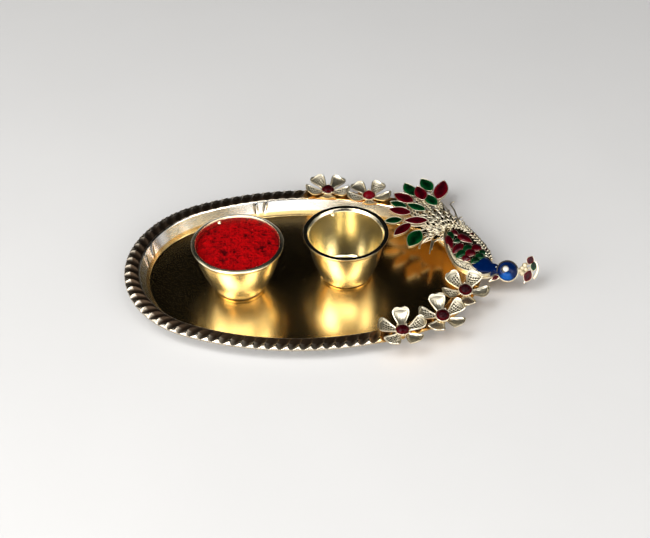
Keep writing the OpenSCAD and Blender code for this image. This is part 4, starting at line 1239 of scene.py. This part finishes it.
leaves = {colour: [leafOf(row) for row in rows] for colour, rows in leafRows.items()}
allLeaves = leaves["red"] + leaves["green"]
tailParts = [ontoStem(leafCup(leaf, bird["leafBorder"], bird["leafHigh"]), leaf) for leaf in allLeaves]
for k, leaf in enumerate(allLeaves):
    end = leaf["base"] + (leaf["tip"] - leaf["base"]) * 0.04
    path = stemPath(end, 0.7 * stems["arches"][k % 3], 0.12)
    tailParts.append(featherPart(path, 300 + k, stems["drop"], stems["step"], stems["lean"], stems["bare"],
                                 stems["wire"]))
for k, (way, reach) in enumerate(fan["rows"]):
    path = stemPath(tailRoot + stepOf(way, reach), fan["arches"][k % 2], 0.1)
    tailParts.append(featherPart(path, 340 + k, **fan["shape"]))
tailParts += [tonguePart(tongue)] + [looseWire(*row) for row in tailWires]
for k, (places, drop, step) in enumerate(smallFeathers):
    tailParts.append(featherPart(planLine(places, 1.6) + birdAt, 370 + k, drop, step, 40, 0.5, strip=1.4))
tailParts.append(gatherPart(gather))
buildPiece("tail_silver", joinParts(tailParts), castMetal, ["tail_frame"], sharp=60)
for colour, finish in enamels.items():
    pools = [ontoStem(leafPool(leaf, bird["leafBorder"], bird["leafHigh"]), leaf) for leaf in leaves[colour]]
    buildPiece("tail_" + colour + "_pools", joinParts(pools), finish,
               ["tail_enamel_" + colour])
print("tail built")

# Body: outline as shares of its length, a round-topped wing and its drops
bodyOutline = np.array((
    (-0.39, 0.64), (-0.43, 0.43), (-0.41, 0.22), (-0.365, 0.02), (-0.31, -0.14), (-0.21, -0.275),
    (-0.08, -0.375), (0.03, -0.43), (0.17, -0.43), (0.25, -0.34), (0.36, -0.36), (0.37, -0.25), (0.26, -0.19),
    (0.255, -0.07), (0.22, 0.09), (0.15, 0.29), (0.06, 0.47), (-0.04, 0.66), (-0.12, 0.74), (-0.27, 0.73)))
cornerSteps = 6
bodyRing = smoothLine(bodyOutline * bird["bodyLong"], cornerSteps, closed=True)
# Drops on the wing: middle, length and width in mm, turn of the round end
dropRows = {
    "red": ((-15.3, 14.4, 13.2, 3.4, 101), (-11.3, 22.6, 6.9, 3.3, 126), (-4.9, 16.4, 12.0, 5.3, 136),
            (-10.7, 7.1, 10.5, 4.8, 47), (1.6, 6.8, 9.6, 5.2, 47), (-3.2, 1.2, 8.6, 5.0, 47),
            (-6.1, -3.5, 5.2, 4.9, 47), (9.4, 5.8, 7.8, 2.6, 107), (1.5, 21.4, 7.8, 2.8, 130)),
    "green": ((-13.9, 20.4, 8.0, 3.1, 104), (-10.6, 14.4, 4.4, 3.4, 19), (-9.3, 1.3, 8.7, 4.6, 46),
              (-4.5, 6.4, 8.5, 4.3, 45), (-0.3, -6.2, 6.9, 4.2, 41), (2.9, -2.2, 7.6, 4.8, 39),
              (5.6, 2.5, 5.8, 4.3, 44), (7.1, 13.2, 6.8, 2.7, 125)),
}


# Height of the wing's round top over the crown, at plan places of the bird: an
# arc across the body's axis, as high as the body and as wide, less its edge
def wingHeight(x, y):
    rise = bird["bodyHigh"] - bird["bodyEdge"]
    r = ((bird["bodyWide"] / 2) ** 2 + rise ** 2) / (2 * rise)
    ahead = stepOf(bird["axisTurn"])
    off = (x - bodyMiddle[0]) * ahead[1] - (y - bodyMiddle[1]) * ahead[0]
    return bird["bodyHigh"] - r + np.sqrt(np.maximum(r * r - off * off, 0))


# Points over the wing's round top
def onWing(x, y, over):
    return pointsOf(x, y, wingHeight(x, y) + over) + birdAt


# Half width of a drop: pointed at 0, round at 1
def dropHalf(wide, share):
    return wide / 2 * np.sin(np.pi * np.clip(share, 0, 1) ** 1.3) ** 0.72


# Plan places of a drop's own coordinates: share along, v across
def dropPlan(row, share, v, grow):
    middleX, middleY, long, wide, turn = row
    ahead = stepOf(turn)
    along = (share - 0.5) * (long * 1.08 + 2 * grow)
    side = dropHalf(wide * 1.34 + 2 * grow, share) * v
    return middleX + along * ahead[0] - side * ahead[1], middleY + along * ahead[1] + side * ahead[0]


# Enamel drop: height = wing + dome * root of (1 - v squared) * its fullness, and
# more towards the round end
def dropPart(row):
    share = closingShares(30)[:, None]
    v = np.linspace(-1, 1, 19)[None]
    x, y = dropPlan(row, share, v, -0.12)
    full = (dropHalf(1.0, share) * 2) ** 0.8
    swell = np.sqrt(np.clip(1 - v ** 2, 0, 1)) * full
    top = onWing(x, y, 0.12 + 0.3 * row[3] * swell + 0.45 * share * full)
    return slabPart(top, onWing(x, y, -0.6), edge=(1 - swell) ** 2)


# Raised wire round a drop
def dropWire(row):
    share = closingShares(24)
    sides = [np.stack(dropPlan(row, share, v, 0.1), 1) for v in (1.0, -1.0)]
    plan = np.vstack([sides[0], sides[1][::-1][1:-1]])
    # Painted shade on the wire between the drops
    return wirePart(onWing(*plan.T, 0.2), 0.16, 0.26, sides=8, closed=True, hollow=0.35)


# Part of the body's outline between two of its corners, drawn in by a distance
def outlineRun(first, last, inwards):
    way = np.roll(bodyRing, -1, 0) - np.roll(bodyRing, 1, 0)
    way = way / np.linalg.norm(way, axis=1, keepdims=True)
    drawn = bodyRing + np.stack([-way[:, 1], way[:, 0]], 1) * inwards
    return drawn[np.arange(first * cornerSteps, last * cornerSteps + 1) % len(bodyRing)]


# Rings that shrink an outline onto its middle
def shrunkRings(ring, middle, count):
    return middle + (ring - middle)[None] * np.linspace(0, 1, count)[1:][:, None, None]


# Ground of the wing between the drops, a skin just over the round top, dark
# all over as painted shade
def wingGround():
    over, under = 0.07, -0.5
    plan = shrunkRings(outlineRun(0, len(bodyOutline), 1.2)[:-1], bodyMiddle, 16)
    skin = onWing(plan[..., 0], plan[..., 1], over)
    wall = onWing(plan[-1:, :, 0], plan[-1:, :, 1], under)
    top, low = (birdAt + [*bodyMiddle, bird["bodyHigh"] + z] for z in (over, under))
    return cappedRings(np.concatenate([skin, wall]), top, low, hollow=1.0)


band = {
    "inner": ((-15.8, 26.0), (-17.1, 20.5), (-16.0, 13.0), (-14.6, 6.0), (-12.0, -1.0), (-7.9, -4.6),
              (-3.9, -7.6), (-1.9, -12.0)),     # plan places in mm
    "corners": (1, 7),
    "rows": 190,
    "scroll": 9.0,          # mm for one wave
    "curl": 4.5,
    "tick": 2.1,
    "channel": 0.12,        # shares of its width
    "plain": 0.9,
}


# Engraved band down the left edge: bright rim, channel, silver ribbon with two
# scroll lines, at 0.58 + 0.25 * sin(run) and 0.58 - 0.2 * sin(run) of its width;
# the channel, ticks and lines are cut and dark with painted shade
def engravedBand(b):
    outer = respace(outlineRun(*b["corners"], 1.2), b["rows"])
    inner = respace(smoothLine(b["inner"], 8), b["rows"])
    w = np.linspace(0, 1, 29)
    sheet = outer[:, None] * (1 - w[:, None]) + inner[:, None] * w[:, None]
    run = runOf(outer)[:, None]
    turn = 2 * np.pi * run / b["scroll"]
    scroll = bell(w, 0.58 + 0.25 * np.sin(turn), 0.05)
    curl = bell(w, 0.58 - 0.2 * np.sin(turn + 0.9), 0.045) * (np.sin(2 * np.pi * run / b["curl"]) > 0)
    ticks = bell(np.mod(run / b["tick"], 1.0), 0.5, 0.2) * ((w > b["channel"]) & (w < 0.26))
    cut = 0.9 * (scroll + curl) * (w > 0.3) * (w < b["plain"])
    hollow = np.clip(cut + ticks + (w < b["channel"]), 0, 1)
    ribbon = 0.14 + 0.5 * np.sin(np.pi * w ** 1.6)
    top, low = (onWing(sheet[..., 0], sheet[..., 1], ribbon - sink) for sink in (0.2 * hollow, 0.7))
    rim = onWing(*outlineRun(0, b["corners"][1], 0.5).T, 0.45)
    return [slabPart(top, low, hollow=hollow, frost=1.0), wirePart(rim, 0.62, 0.7, sides=10, hollow=0.0),
            wirePart(onWing(*inner.T, 0.3), 0.24, 0.3, sides=8, hollow=0.0)]


# Feathers and grains along the back edge, towards the tail
def backEdge():
    edge = onWing(*outlineRun(13, 18, 1.6).T, 0.75)
    outer = onWing(*outlineRun(13, 18, 0.1)[::-1].T, 0.2)
    # Painted shade on the outer wire
    parts = [featherPart(edge, 380, 3.6, 3.0, 48, 0.8, strip=2.6), wirePart(outer, 0.45, sides=8, hollow=0.7)]
    for bead in respace(outer, 15):
        parts.append(ballPart(bead + [0, 0, 0.35], 0.85, 0.8, 8, 14, hollow=0.0))
    nape = np.array(((-2.0, 27.5), (-6.5, 30.6), (-11.5, 31.2), (-15.2, 28.6)))
    parts.append(featherPart(onWing(*nape.T, 0.9), 381, 3.0, 2.4, 45, 0.4, strip=2.0))
    parts.append(featherPart(onWing(*(nape - [0.6, 2.9]).T, 0.8), 382, 2.8, 2.4, 45, 0.4, strip=1.6))
    return parts


for colour, finish in enamels.items():
    buildPiece("wing_drops_" + colour, joinParts([dropPart(row) for row in dropRows[colour]]), finish,
               ["wing_enamel_" + colour])
bodyTrim = [wingGround()] + engravedBand(band) + backEdge()
bodyTrim += [dropWire(row) for row in dropRows["red"] + dropRows["green"]]
buildPiece("wing_wires", joinParts(bodyTrim), castMetal, sharp=60)
print("wing built")

# Breast: a low blue shield, outline in mm, running into the neck
breast = {
    "outline": ((-2.6, -10.6), (1.1, -6.8), (4.6, -3.2), (7.2, -2.2), (9.6, -4.8), (11.6, -8.2),
                (14.4, -10.0), (14.6, -14.4), (11.9, -15.8), (9.2, -17.6), (5.7, -18.4), (2.1, -17.6),
                (-0.6, -14.4)),
    "middle": (4.6, -11.0),
    "base": 4.1,
    "dome": 1.5,
    "deep": 3.0,
    "neck": ((8.0, -11.0, 3.6), (12.4, -13.0, 3.7)),
    "neckEnd": (-4.2, 0.8, -0.8),       # from the head
}
head = {
    "at": birdAt + np.array([0.455, -0.386, 0.105]) * bird["bodyLong"],
    "tilt": 37.0,
    "across": 14.4,
    "thick": 1.6,
    "dome": 3.6,
    "eye": (-1.44, 0.72),
    "eyeAcross": 4.0,
    "beakTurn": 208.0,
    "beak": 7.0,
    "crest": 16.0,
    "dishSides": 80,
    "domeSides": 96,
}


# Domed plate inside an outline: height = base + dome * (1 - share to the fifth)
def shieldPart(b):
    rings = 22
    plan = shrunkRings(smoothLine(b["outline"], 6, closed=True), np.array(b["middle"]), rings)
    share = np.linspace(0, 1, rings)[1:, None]
    foot = b["base"] - b["deep"]
    grid = np.concatenate([pointsOf(plan[..., 0], plan[..., 1], b["base"] + b["dome"] * (1 - share ** 5)),
                           pointsOf(plan[-1:, :, 0], plan[-1:, :, 1], foot)])
    return cappedRings(grid + birdAt, birdAt + [*b["middle"], b["base"] + b["dome"]],
                       birdAt + [*b["middle"], foot], edge=0.0)


# Neck: a flattened tube from the breast to the head, slimmer at its middle
def neckPart(b):
    line = smoothLine((*(birdAt + at for at in b["neck"]), head["at"] + b["neckEnd"]), 8)
    slim = np.sin(np.pi * np.linspace(0, 1, len(line)))
    return wirePart(line, 3.9 - 0.5 * slim, 1.9 - 0.3 * slim, sides=28, edge=0.0)


# Puts a part made on the head's plane into place
def ontoHead(part):
    return placePart(part, move=head["at"], tiltX=head["tilt"])


# Head: cast dish with a rolled rim, beak and the seat of the eye
def headDish(h):
    r = h["across"] / 2
    low, floor = -h["thick"], -0.1
    line = roundedLine([(0.8, low), (r - 0.5, low), (r, low * 0.5), (r, 0.45), (r - 0.35, 0.85),
                        (r - 0.8, 0.45), (r - 0.9, floor), (0.8, floor)], [0.4, 0.4, 0.2, 0.35, 0.2, 0.1], 4)
    # Painted shade on the dish's upper side
    upper = 1 - ease(-np.sin(roundAngles(h["dishSides"]) - 0.35), 0.0, 0.35)
    hollow = 0.9 * np.tile(upper, len(line))
    dish = turnedPart(line, h["dishSides"], low, floor, hollow=np.append(hollow, [0, 0]))
    t = np.linspace(0, 1, 16)
    plan = (r - 0.6 + (h["beak"] + 0.4) * t)[:, None] * stepOf(h["beakTurn"])
    beak = wirePart(np.column_stack([plan, -0.75 - 0.5 * t ** 2]), 1.75 * (1 - t ** 1.6) + 0.4 * t,
                    0.85 - 0.4 * t, sides=14, hollow=0.0)
    # Painted shade on the seat of the eye
    seatLine = ((2.2, 1.6), (2.75, 2.3), (2.75, 2.9), (2.35, 3.3), (2.0, 2.9))
    return joinParts([dish, beak, turnedPart(seatLine, 40, 1.6, 2.8, (*h["eye"], 0), hollow=0.75)])


# Head dome: enamel with a brighter fan below the eye and a raised ring, its
# height dome * (1 - share to the 2.3)
def headDome(h):
    r = h["across"] / 2 - 0.7
    t = np.linspace(0.05, 1, 44)
    line = np.stack([r * t, h["dome"] * (1 - t ** 2.3) + 0.05], 1)
    a = roundAngles(h["domeSides"])

    def wobble(rr, zz, angle):
        return rr, zz + 0.28 * bell(rr, r * 0.78, 0.28) * ease(np.sin(angle - 0.3), -0.1, 0.4)

    streaks = 0.75 + 0.25 * np.sin(46 * a) * np.sin(9 * a + 1)
    along = (ease(t, 0.15, 0.5) * (1 - ease(t, 0.88, 1.0)))[:, None]
    edge = np.append(1.3 * ease(np.cos(a - 4.45), 0.55, 0.95) * streaks * along, [0, 0])
    return turnedPart(line, h["domeSides"], h["dome"] + 0.05, -0.05, wobble=wobble, edge=edge)


# Beak enamel: a short leaf on the beak's root
def beakPool(h):
    part = leafPool({"long": h["beak"] * 0.72, "wide": 2.6}, 0.1, 1.0)
    at = stepOf(h["beakTurn"], h["across"] / 2 + h["beak"] * 0.3)
    return placePart(part, h["beakTurn"], (*at, -0.55))


buildPiece("blue_breast", shieldPart(breast), blueEnamel, ["breast_enamel"])
buildPiece("blue_neck", neckPart(breast), blueEnamel)
breastArc = looseWire(((-0.4, -16.4), (2.4, -19.2), (5.9, -20.0), (9.6, -19.0), (12.2, -17.0)), 1.6, 0.6, 0.5)
buildPiece("head_silver", joinParts([ontoHead(headDish(head)), breastArc]), castMetal,
           ["peacock_head"], sharp=50)
buildPiece("head_dome", ontoHead(headDome(head)), blueEnamel, ["head_enamel"], sharp=0)
buildPiece("beak_pool", ontoHead(beakPool(head)), redCrest, ["beak_enamel"])
eyeStone = ontoHead(ballPart((*head["eye"], 3.0), head["eyeAcross"] / 2, 0.78, 12, 32))
# Painted highlight: a small white ball where the neck shows a white glint
neckHighlight = ballPart(birdAt + [12.9, -13.6, 5.35], 0.5, 0.6, 6, 14)
buildPiece("eye_pearl", joinParts([eyeStone, neckHighlight]), whiteStone, ["eye_stone"])

# Crest on the head's plane. Drops: middle, length and width as shares of its
# reach, turn in degrees. Beads: middle as shares. Seat and pearl of a bead: height
# of the middle and radius in mm, squash, rings and sides. Arcs: places in mm, steps
# between them, half width at both ends and half height in mm.
crest = {
    "red": ((0.96, 0.45, 0.40, 0.30, 62), (0.83, -0.2, 0.55, 0.33, 62)),
    "green": ((1.075, 0.2, 0.42, 0.26, 84),),
    "beads": ((0.72, 0.25), (0.61, 0.12), (0.76, 0.06), (0.6, -0.08), (0.53, 0.02)),
    "border": 0.3,
    "cupHigh": 2.1,
    "poolHigh": 2.4,
    "below": -2.9,
    "stem": -2.2,
    "seat": (-2.1, 1.75, 0.5, 6, 18),
    "pearl": (-1.0, 1.62, 0.95, 10, 24),
    "arcs": ((((18.9, 6.2, -1.6), (19.9, 3.4, -1.4), (19.7, 0.2, -1.4), (18.4, -2.8, -1.5),
               (16.8, -4.9, -1.7)), 8, 0.5, 1.1, 0.6),
             (((11.6, -5.6, -1.7), (11.0, -7.0, -1.7), (10.6, -8.0, -1.7)), 6, 0.55, 0.55, 0.5)),
}


# Leaf-shaped cups or pools of the crest's drops of one colour
def crestDrops(rows, makeLeaf, high):
    parts = []
    for x, y, long, wide, turn in rows:
        leaf = {"long": head["crest"] * long, "wide": head["crest"] * wide * 1.1}
        at = (head["crest"] * x, head["crest"] * y, crest["below"])
        parts.append(placePart(makeLeaf(leaf, crest["border"], high), turn, at))
    return parts


# Stem under a drop, from the head's dish
def crestStem(row):
    start = (head["across"] / 2 - 2.5, -0.4, crest["stem"])
    x, y = (head["crest"] * share for share in row[:2])
    bend = (head["crest"] * 0.6, y * 0.35, crest["stem"])
    line = smoothLine((start, bend, (x - 0.4, y * 0.9, crest["stem"])), 8)
    # Painted shade on the stem
    return wirePart(line, 0.8, 0.5, sides=10, hollow=0.2)


# Balls at the beads' places
def crestBalls(high, *size, **values):
    places = head["crest"] * np.array(crest["beads"])
    return [ballPart((x, y, high), *size, **values) for x, y in places]


crestRows = crest["red"] + crest["green"]
crestParts = crestDrops(crestRows, leafCup, crest["cupHigh"]) + [crestStem(row) for row in crestRows]
for places, steps, wideFrom, wideTo, thick in crest["arcs"]:
    line = smoothLine(places, steps)
    wide = np.linspace(wideFrom, wideTo, len(line))
    crestParts.append(wirePart(line, wide, thick, sides=10, hollow=0.0))
# Painted shade on the seats of the beads
crestParts += crestBalls(*crest["seat"], hollow=0.3)
buildPiece("crest_silver", ontoHead(joinParts(crestParts)), castMetal, ["crest"], sharp=60)
for name, colour, finish in (("crest_red_drops", "red", redCrest), ("crest_green_drop", "green", greenCrest)):
    pools = crestDrops(crest[colour], leafPool, crest["poolHigh"])
    buildPiece(name, ontoHead(joinParts(pools)), finish, ["crest_enamel_" + colour])
pearls = joinParts(crestBalls(*crest["pearl"]))
buildPiece("crest_pearls", ontoHead(pearls), warmPearl, ["crest_beads"])
print("head and crest built")

# CAD nodes that keep their own shape
packedFinishes = {"peacock_body": castMetal, "flower_rivets": rivetBrass, "peacock_rivets": rivetBrass}
for name, finish in packedFinishes.items():
    nodes[name].data.materials.clear()
    nodes[name].data.materials.append(finish)

# Stage: pale floor, soft studio light. Softboxes: azimuth and elevation in
# degrees, distance, width and height in metres, power in watts. Azimuth 0 is the
# camera's side.
stage = {
    "floor": (0.68, 0.67, 0.655),
    "reach": 14.0,
    "drop": 0.00002,        # metres below the tray
    "strength": 1.3,
    "level": ((0.0, 0.97), (0.34, 0.92), (0.5, 0.014), (0.82, 0.012), (1.0, 0.2)),     # from below to above
    "behind": ((0.0, 1.0), (0.4, 1.0), (0.6, 0.05), (1.0, 0.05)),       # from the camera's side to behind
    "boxes": {
        "keyBox": (-45, 62, 1.5, 0.6, 0.65, 9.0),
        "highBox": (40, 60, 1.5, 0.5, 0.65, 4.5),
        "topBox": (0, 76, 1.5, 0.5, 0.5, 1.0),
        "sideBox": (-50, 31, 1.5, 1.0, 0.9, 16.0),
        "frontBox": (0, 11, 1.6, 1.8, 0.3, 6.0),
        "rightBox": (60, 33, 1.5, 0.7, 0.7, 5.0),
        "leftBox": (-92, 40, 1.5, 0.7, 0.6, 2.0),
    },
}


# Floor: one pale face, faintly clouded
def stageFloor(s):
    r = s["reach"]
    mesh = bpy.data.meshes.new("stageFloor")
    corners = ((-r, -r), (r, -r), (r, r), (-r, r))
    mesh.from_pydata([(x, y, -s["drop"]) for x, y in corners], [], [(0, 1, 2, 3)])
    material, tree = startFinish("paleFloor")
    shade = tuple(c * 0.97 for c in s["floor"])
    colour = rampOf(tree, noiseOf(tree, placeOf(tree), 6.0), (0.3, shade), (0.7, s["floor"]))
    mesh.materials.append(endFinish(material, tree, {"Base Color": colour, "Roughness": 0.7}))
    piece = bpy.data.objects.new("stageFloor", mesh)
    bpy.context.scene.collection.objects.link(piece)


# Softbox at an azimuth and elevation, turned to the tray
def softbox(name, azimuth, elevation, distance, wide, tall, power):
    lamp = bpy.data.lights.new(name, "AREA")
    lamp.shape = "RECTANGLE"
    lamp.size = wide
    lamp.size_y = tall
    lamp.energy = power
    a = math.radians(azimuth)
    e = math.radians(elevation)
    at = Vector((math.sin(a) * math.cos(e), -math.cos(a) * math.cos(e), math.sin(e))) * distance
    box = bpy.data.objects.new(name, lamp)
    box.location = at
    box.rotation_mode = "QUATERNION"
    box.rotation_quaternion = (-at).to_track_quat("-Z", "Y")
    bpy.context.scene.collection.objects.link(box)


# World: pale at the level on the camera's side, dark higher up and behind
def studioWorld(s):
    world = bpy.data.worlds.new("softStudio")
    world.use_nodes = True
    tree = world.node_tree
    way = addNode(tree, "ShaderNodeTexCoord", {}).outputs["Generated"]
    split = addNode(tree, "ShaderNodeSeparateXYZ", {"Vector": way})
    level = rampOf(tree, split.outputs["Z"], *s["level"])
    back = timesOf(tree, mathOf(tree, "ADD", split.outputs["Y"], 1.0), 0.5)
    colour = mixOf(tree, 1.0, level, rampOf(tree, back, *s["behind"]), "MULTIPLY")
    setSockets(tree, tree.nodes["Background"], {"Color": colour, "Strength": s["strength"]})
    bpy.context.scene.world = world


stageFloor(stage)
for name, row in stage["boxes"].items():
    softbox(name, *row)
studioWorld(stage)
bpy.context.scene.view_settings.view_transform = "Standard"
print("stage set")
